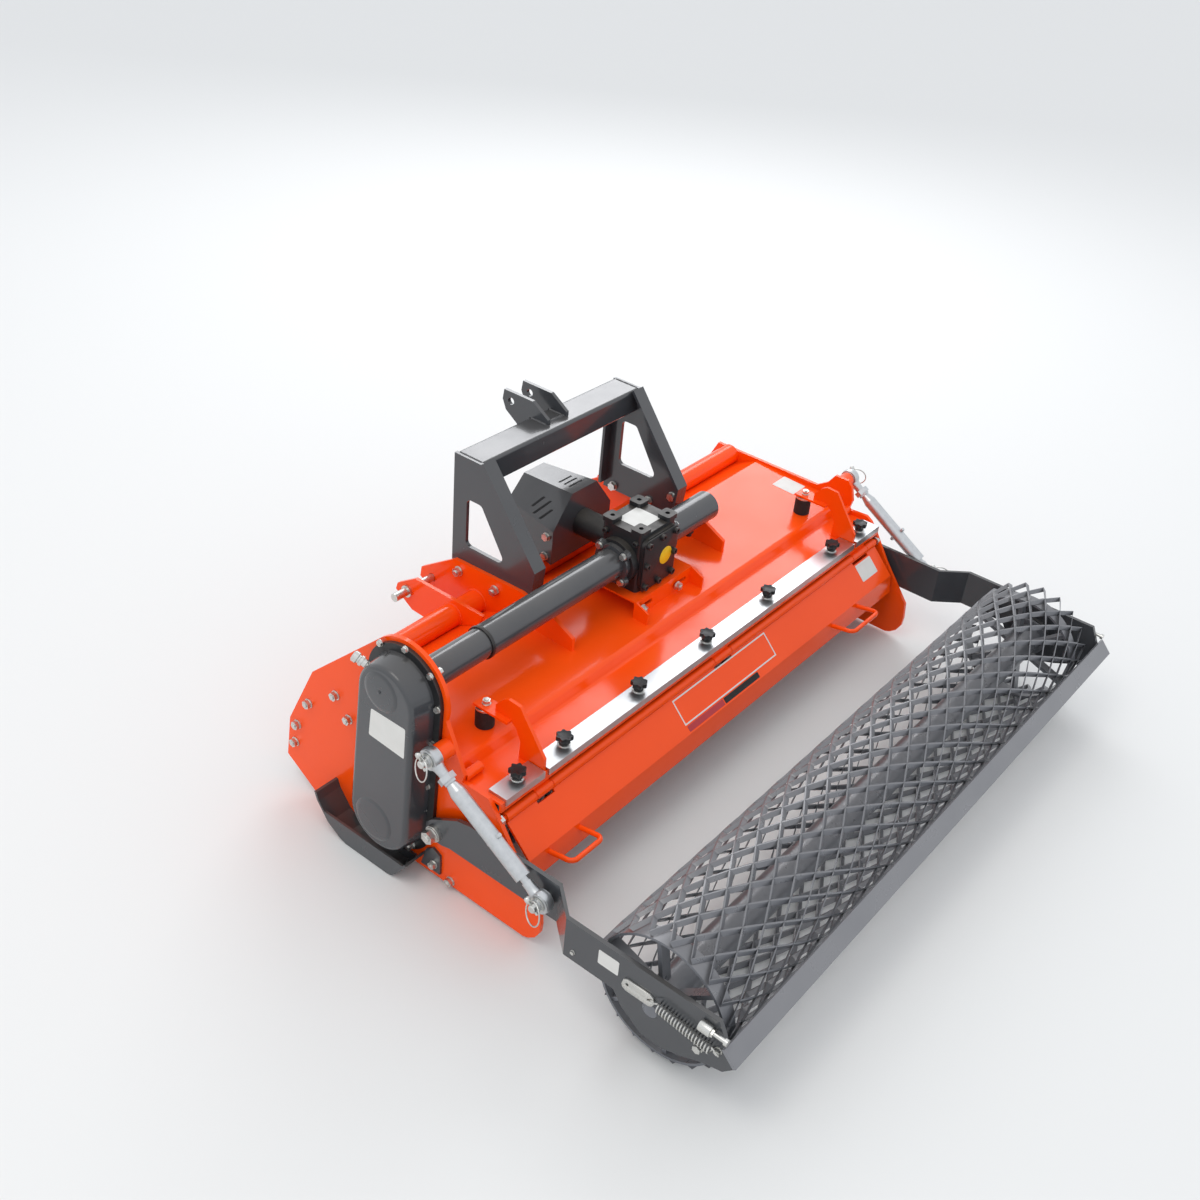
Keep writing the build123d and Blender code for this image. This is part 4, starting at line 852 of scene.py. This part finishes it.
def spring_gear(side):
    x = side * spring_x
    spring = coil((x, -508.0, 197.0), (x, -634.0, 181.0))
    hook = wire([(x, -508.0, 205.5), (x, -502.0, 203.0), (x, -497.0, 197.0), (x, -488.0, 195.0),
                 (x - side * 6.0, -482.0, 191.0), (x - side * 9.0, -484.0, 188.0)], wire_r)
    tail = wire([(x, -634.0, 189.5), (x, -640.0, 186.0), (x, -648.0, 181.0),
                 (x - side * 2.0, -652.0, 176.0), (x - side * 5.0, -648.0, 171.0)], wire_r)
    x = side * arm_face
    tab = cut_plate([(x, -418.0, 187.0), (x, -421.0, 201.0), (x, -430.0, 207.0), (x, -484.0, 207.0),
                     (x, -493.0, 202.0), (x, -497.0, 190.0), (x, -492.0, 179.0), (x, -484.0, 175.0),
                     (x, -430.0, 175.0), (x, -421.0, 179.0)], (side * 5.0, 0.0, 0.0))
    for y, z in ((-431.0, 193.0), (-483.0, 190.0)):
        drill(tab, (x, y, z), right, 3.6, 40.0)
    soften(tab, 0.8)
    x = side * stop_x
    stop = turned([(0.0, 0.0), (11.0, 0.0), (12.0, 2.0), (12.0, 26.0), (10.5, 27.0), (0.0, 27.0)], 24)
    stand(stop, (x, -602.0, 227.0), stop_way)
    stop_nut = stand(hexagon(9.0, 8.0), (x, -630.0, 226.0), stop_way)
    stud = turned([(0.0, 0.0), (4.6, 0.0), (4.6, 30.0), (7.6, 30.0), (7.6, 37.0), (0.0, 37.0)], 14)
    stand(stud, (x, -628.0, 226.0), stop_way)
    return [spring, hook, tail, tab, stop, stop_nut, stud]


gear = spring_gear(-1.0) + spring_gear(1.0)
gear += copies(head_pattern, both_sides(arm_face, [(-603.0, 152.0)], 0.9))
gear += copies(nut_pattern, both_sides(arm_face, [(-645.0, 180.0)], 0.7))
spring_set = plated("scraper_spring_gear", gear, "roller_frame")
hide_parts("scraper_springs")

# %% [markdown]
# A large nut holds each arm on its pivot, and one small bolt shows on each arm.

# %% Bolts on the arms
plated("arm_bolts", copies(head_pattern, both_sides(arm_face, [(-294.0, 174.0)], 0.45)), "roller_frame")
plated("arm_pivot_nuts", copies(nut_pattern, both_sides(834.0, [(140.0, 169.0)], 1.5)))

# %% [markdown]
# ## Knobs on the clamp strips
# Seven moulded star knobs clamp the strips. Each has seven lobes, a dished top and a waisted foot over
# a washer. A cylinder with 42 sides gives the head: seven waves round its rim leave the lobes, and its
# top is inset and sunk. The foot is turned.

# %% Model one knob and copy it
knob_y, strip_top = 15.0, 331.0
knob_places = [-712.0, -559.0, -293.0, -20.0, 251.0, 569.0, 720.0]


def wave_rim(piece, reach_at):
    for corner in piece.data.vertices:
        reach = reach_at(math.atan2(corner.co.y, corner.co.x))
        corner.co.x *= reach
        corner.co.y *= reach


def star_knob():
    only(None)
    bpy.ops.mesh.primitive_cylinder_add(vertices=42, radius=20.0 * MM, depth=12.0 * MM,
                                        location=(0.0, 0.0, 19.0 * MM))
    star = bpy.context.object
    bpy.ops.object.transform_apply(location=True, rotation=True, scale=True)
    wave_rim(star, lambda angle: 0.89 + 0.11 * math.tanh(1.8 * math.cos(7.0 * angle)) / math.tanh(1.8))
    pick(star, "FACE", lambda face: face.normal.z > 0.9)
    bpy.ops.mesh.inset(thickness=4.0 * MM)
    bpy.ops.transform.translate(value=(0.0, 0.0, -1.6 * MM))
    bpy.ops.object.mode_set(mode="OBJECT")
    soften(star, 1.6, angle=50.0)
    foot = turned([(0.0, 2.0), (12.0, 2.0), (12.0, 4.5), (9.5, 7.0), (9.5, 10.0), (12.0, 14.0),
                   (0.0, 14.0)], 20)
    return joined([star, foot])


knob = star_knob()
stars = copies(knob, [((x, knob_y, strip_top), up, 1.0) for x in knob_places])
knob_set = hand_over("star_knobs", stars, knob_nylon, "frame", 40.0)
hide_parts("strip_knobs")
bpy.data.objects.remove(knob, do_unlink=True)
washer_profile = [(4.0, 0.0), (15.0, 0.0), (15.0, 1.8), (14.4, 2.2), (4.0, 2.2)]
plated("knob_washers", [stand(turned(washer_profile, 20), (x, knob_y, strip_top)) for x in knob_places])

# %% [markdown]
# ## Welds on the hitch and the mast
# The frame is welded, and the beads show where the front tube passes the hitch plates, along the foot
# of the top link plates and at both ends of the mast's cross tube. They are painted over with the rest.

# %% Weld beads
front_tube_r = 31.0
orange_beads = []
for side in sides:
    for x, way in ((400.5, 1.0), (389.5, -1.0), (315.5, 1.0)):
        orange_beads += bead_ring((side * x, 504.0, 348.0), front_tube_r, side * way, 0.9)
hand_over("hitch_weld_beads", orange_beads, orange_coat, "frame", 50.0)

tube_top = 719.8
mast_beads = []
for side in sides:
    x = side * 294.5
    mast_beads += bead((x, 522.0, 719.5), (x, 590.0, 719.5), (-side * 0.5, 0.0, 1.0))
    mast_beads += bead((x, 521.5, 715.0), (x, 524.5, 660.0), (-side * 0.5, -1.0, 0.0))
    for x, way in ((side * 40.5, side), (side * 29.5, -side)):
        mast_beads += bead((x, 545.0, tube_top), (x, 592.0, tube_top), (way, 0.0, 1.0), 1.2)
mast_beads += bead((-27.0, 548.0, tube_top), (27.0, 548.0, tube_top), (0.0, -1.0, 1.0), 1.4)
hand_over("mast_weld_beads", mast_beads, grey_coat, "frame", 50.0)

# %% [markdown]
# Smaller fittings follow: the boss round each upper adjuster pin, the ring where the torque tube steps
# down, the plug under its short end, a drain stub at each end of the step, and the nuts on the hinge
# rod. All but the nuts are turned parts.

# %% Bosses, ring, plug, stubs and hinge nuts
boss_x, stub_x, rod_nut_x = 800.2, 789.8, 789.5
hinge_y, hinge_z = -10.0, 276.0
boss_profile = [(17.4, 0.0), (22.0, 0.0), (21.0, 3.0), (21.0, 33.0), (19.5, 34.5), (17.4, 34.5),
                (17.4, 0.0)]
bosses = [stand(turned(boss_profile, 28), (side * boss_x, *upper_pin), (side, 0, 0)) for side in sides]
stub_profile = [(8.0, 0.0), (12.0, 0.0), (12.0, 48.0), (11.0, 49.0), (8.0, 49.0), (8.0, 0.0)]
stubs = [stand(turned(stub_profile, 20), (side * stub_x, 93.0, 335.4), (-side, 0, 0)) for side in sides]
hand_over("plate_bosses_and_stubs", bosses + stubs, orange_coat, "frame")

seal = turned([(36.6, 0.0), (39.6, 0.0), (40.4, 1.5), (40.4, 7.5), (39.3, 9.0), (36.6, 9.0),
               (36.6, 0.0)], 40)
stand(seal, (-565.0, drive_y, drive_z), right)
plug = turned([(0.0, 0.0), (13.0, 0.0), (13.0, 16.0), (9.0, 18.0), (9.0, 26.0), (0.0, 26.0)], 20)
stand(plug, (232.0, drive_y, 437.0), straight_down)
hand_over("torque_tube_ring_and_plug", [seal, plug], black_coat, "frame")

plated("hinge_rod_nuts", [stand(hexagon(13.5, 10.0), (side * rod_nut_x, hinge_y, hinge_z), (-side, 0, 0))
                          for side in sides])

# %% [markdown]
# Each rubber buffer is vulcanised to a steel cap, and one bolt through its bar holds it.

# %% Buffer caps and bolts
buffer_x = 650.0
cap_profile = [(0.0, 0.0), (22.5, 0.0), (22.5, 5.0), (21.5, 5.8), (0.0, 5.8)]
caps = [stand(turned(cap_profile, 32), (side * buffer_x, 166.0, 399.0)) for side in sides]
caps += copies(nut_pattern, [((side * buffer_x, 163.0, 411.0), up, 0.85) for side in sides])
plated("buffer_caps_and_bolts", caps)

# %% [markdown]
# ## Gearbox and guard
# The gearbox casting has a cover on its rear, held by black socket screws, with a round sticker, and a
# blank label on top. The guard over the drive shaft is folded sheet with three vent slots in its roof
# and in each shoulder. A slot could be cut right through, but the guard's walls are a imported solid, so
# each is a matt black strip lying a third of a millimetre proud: painted shade for the dark inside of
# the guard seen through the slot.

# %% Rear cover, screws, sticker and label
box_rear = hit("gearbox", (20.0, 0.0, 490.0), front).y
print("rear face of the gearbox at", round(box_rear, 1))
cover_t, cover_corner = 4.0, 12.0
cover = cut_plate([(x, box_rear, z) for x, z in corners_of(-66.0, 66.0, 404.0, 548.0)], (0.0, -cover_t, 0.0))
pick(cover, "EDGE", lambda edge: abs(edge.verts[0].co.y - edge.verts[1].co.y) > 3.0 * MM)
bpy.ops.mesh.bevel(offset=cover_corner * MM, segments=4, affect="EDGES")
bpy.ops.object.mode_set(mode="OBJECT")
soften(cover, 1.0)
screw = turned([(0.0, 0.0), (8.5, 0.0), (8.5, 8.0), (7.6, 9.0), (4.2, 9.0), (4.2, 5.0), (0.0, 5.0)], 18)
screw_spots = [(x, z) for x in (-54.0, 54.0) for z in (417.0, 476.0, 535.0)] + [(0.0, 414.0), (0.0, 538.0)]
screws = copies(screw, [((x, box_rear - 3.8, z), rear, 1.0) for x, z in screw_spots])
screws += copies(screw, both_sides(70.0, [(drive_y + y, drive_z + 62.0) for y in (-46.0, 46.0)], 0.9))
hand_over("gearbox_rear_cover", [cover] + screws, cast_black, "frame")
bpy.data.objects.remove(screw, do_unlink=True)

sticker = turned([(0.0, 0.0), (24.0, 0.0), (24.0, 0.3), (23.6, 0.5), (0.0, 0.5)], 36)
stand(sticker, (24.0, box_rear - cover_t, 476.0), rear)
hand_over("round_sticker", [sticker], vinyl_yellow, "frame")
box_top = [(x, y, 560.1) for x, y in corners_of(-42.0, 36.0, 228.0, 300.0)]
label("gearbox_label", box_top, (0.0, 0.0, 0.6), corner_r=3.0)

# %% Vent slots in painted shade, and bolts of the guard
look_from, vent_sink, vent_t = 60.0, 0.1, 0.35
roof_slot, shoulder_slot = 5.0, 7.0


# Each slot is a thin black sheet laid in it: painted shade for the dark inside of the guard seen through the
# opening.
def shade_strip_in_slot(start, end, wide, way):
    half = Vector((0.0, wide * 0.5, 0.0))
    above_slot = (Vector(start) - half, Vector(end) - half, Vector(end) + half, Vector(start) + half)
    corners = [hit("pto_guard", point, way) for point in above_slot]
    return cut_plate([corner - vent_sink * way for corner in corners], -vent_t * way)


shoulder_slots = [((97.0, 532.0, 520.0), (73.0, 512.0, 545.0)),
                  ((112.0, 518.0, 513.0), (77.0, 488.0, 545.0)),
                  ((116.0, 494.0, 509.0), (92.0, 472.0, 534.0))]
vent_shade_strips = [shade_strip_in_slot((-22.0, y, 640.0), (26.0, y, 640.0), roof_slot, straight_down) for y in (504.0, 487.0, 470.0)]
for side in sides:
    inward = Vector((-side * 0.79, 0.0, -0.61))
    for slot in shoulder_slots:
        start, end = [Vector((side * x, y, z)) - look_from * inward for x, y, z in slot]
        vent_shade_strips.append(shade_strip_in_slot(start, end, shoulder_slot, inward))
# The vent strips are painted shade, in the same black as the rubber buffers.
hand_over("guard_vent_painted_shade", vent_shade_strips, black_rubber_and_shade, "frame")

guard_spots = [(hit("pto_guard", (side * 200.0, y, z), (-side, 0, 0)), (side, 0, 0), 0.95)
               for side in sides for y, z in ((460.0, 466.0), (462.0, 408.0))]
plated("guard_bolts", copies(head_pattern, guard_spots))

# %% [markdown]
# The input shaft has six splines. A cylinder gives them, with six waves round its rim, on a turned
# core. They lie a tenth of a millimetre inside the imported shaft, so they show only in its lock groove.

# %% Splined shaft
only(None)
bpy.ops.mesh.primitive_cylinder_add(vertices=48, radius=17.3 * MM, depth=76.0 * MM)
splines = bpy.context.object
wave_rim(splines, lambda angle: 0.915 + 0.085 * math.tanh(3.0 * math.cos(6.0 * angle)))
stand(splines, (0.0, 571.5, drive_z), front)
core = turned([(0.0, 447.2), (17.2, 447.2), (17.2, 533.0), (14.0, 534.0), (14.0, 609.0), (13.0, 609.8),
               (0.0, 609.8)], 32)
stand(core, (0.0, 0.0, drive_z), front)
collar = turned([(0.0, 439.6), (22.2, 439.6), (22.2, 447.2), (0.0, 447.2)], 32)
stand(collar, (0.0, 0.0, drive_z), front)
hand_over("splined_input_shaft", [core, splines, collar], bare_steel, "input_shaft", 30.0)

# %% [markdown]
# ## Door and deck stickers
# The door carries a white-framed panel, a narrow strip below it and a small label by the right hinge;
# the deck has one square label near its right end. All are blank here. Their corners are measured down
# the door from its hinge, and the sheets are laid on the faces.

# %% Panel frame, strip and labels
door_down = Vector((0.0, -0.702, -0.712))
door_out = Vector((0.0, -0.712, 0.702))
door_lift = 0.5 * door_out
air = 0.15


def on_door(x, down):
    far = Vector((x, hinge_y, hinge_z)) + down * door_down + look_from * door_out
    return hit("rear_door", far, -door_out) + air * door_out


def door_sheet(x_from, x_to, down_from, down_to):
    return [on_door(x, down) for x, down in corners_of(x_from, x_to, down_from, down_to)]


frame_lines = [door_sheet(-200.0, 196.0, 17.0, 20.5), door_sheet(-200.0, 196.0, 80.5, 84.0),
               door_sheet(-200.0, -196.5, 20.5, 80.5), door_sheet(192.5, 196.0, 20.5, 80.5)]
hand_over("door_panel_frame", [cut_plate(corners, 0.4 * door_out) for corners in frame_lines],
          vinyl_white, "door", 20.0)
vinyl_red = vinyl("red_vinyl_strip", "B8262E", "AC2029")
label("door_strip_label", door_sheet(-196.0, -50.0, 87.5, 102.5), door_lift, vinyl_red, "door", 2.0)
label("door_dark_label", door_sheet(-46.0, 104.0, 87.5, 102.5), door_lift, black_rubber_and_shade, "door", 2.0)
label("door_corner_label", door_sheet(652.0, 732.0, 24.0, 74.0), door_lift, body="door", corner_r=3.0)


def on_deck(x, y):
    return hit("hood_shell", (x, y, 450.0), straight_down) + air * Vector(up)


deck_corners = [on_deck(x, y) for x, y in corners_of(712.0, 778.0, 232.0, 304.0)]
label("deck_label", deck_corners, (0.0, 0.0, 0.5), corner_r=3.0)

# %% [markdown]
# The bolt patterns and the weld drop have been copied wherever they are needed, so they leave the scene.

# %% Put the patterns away
for pattern in (head_pattern, nut_pattern, drop):
    bpy.data.objects.remove(pattern, do_unlink=True)
print("pieces:", len(piece_triangles), "triangles:", sum(piece_triangles.values()))
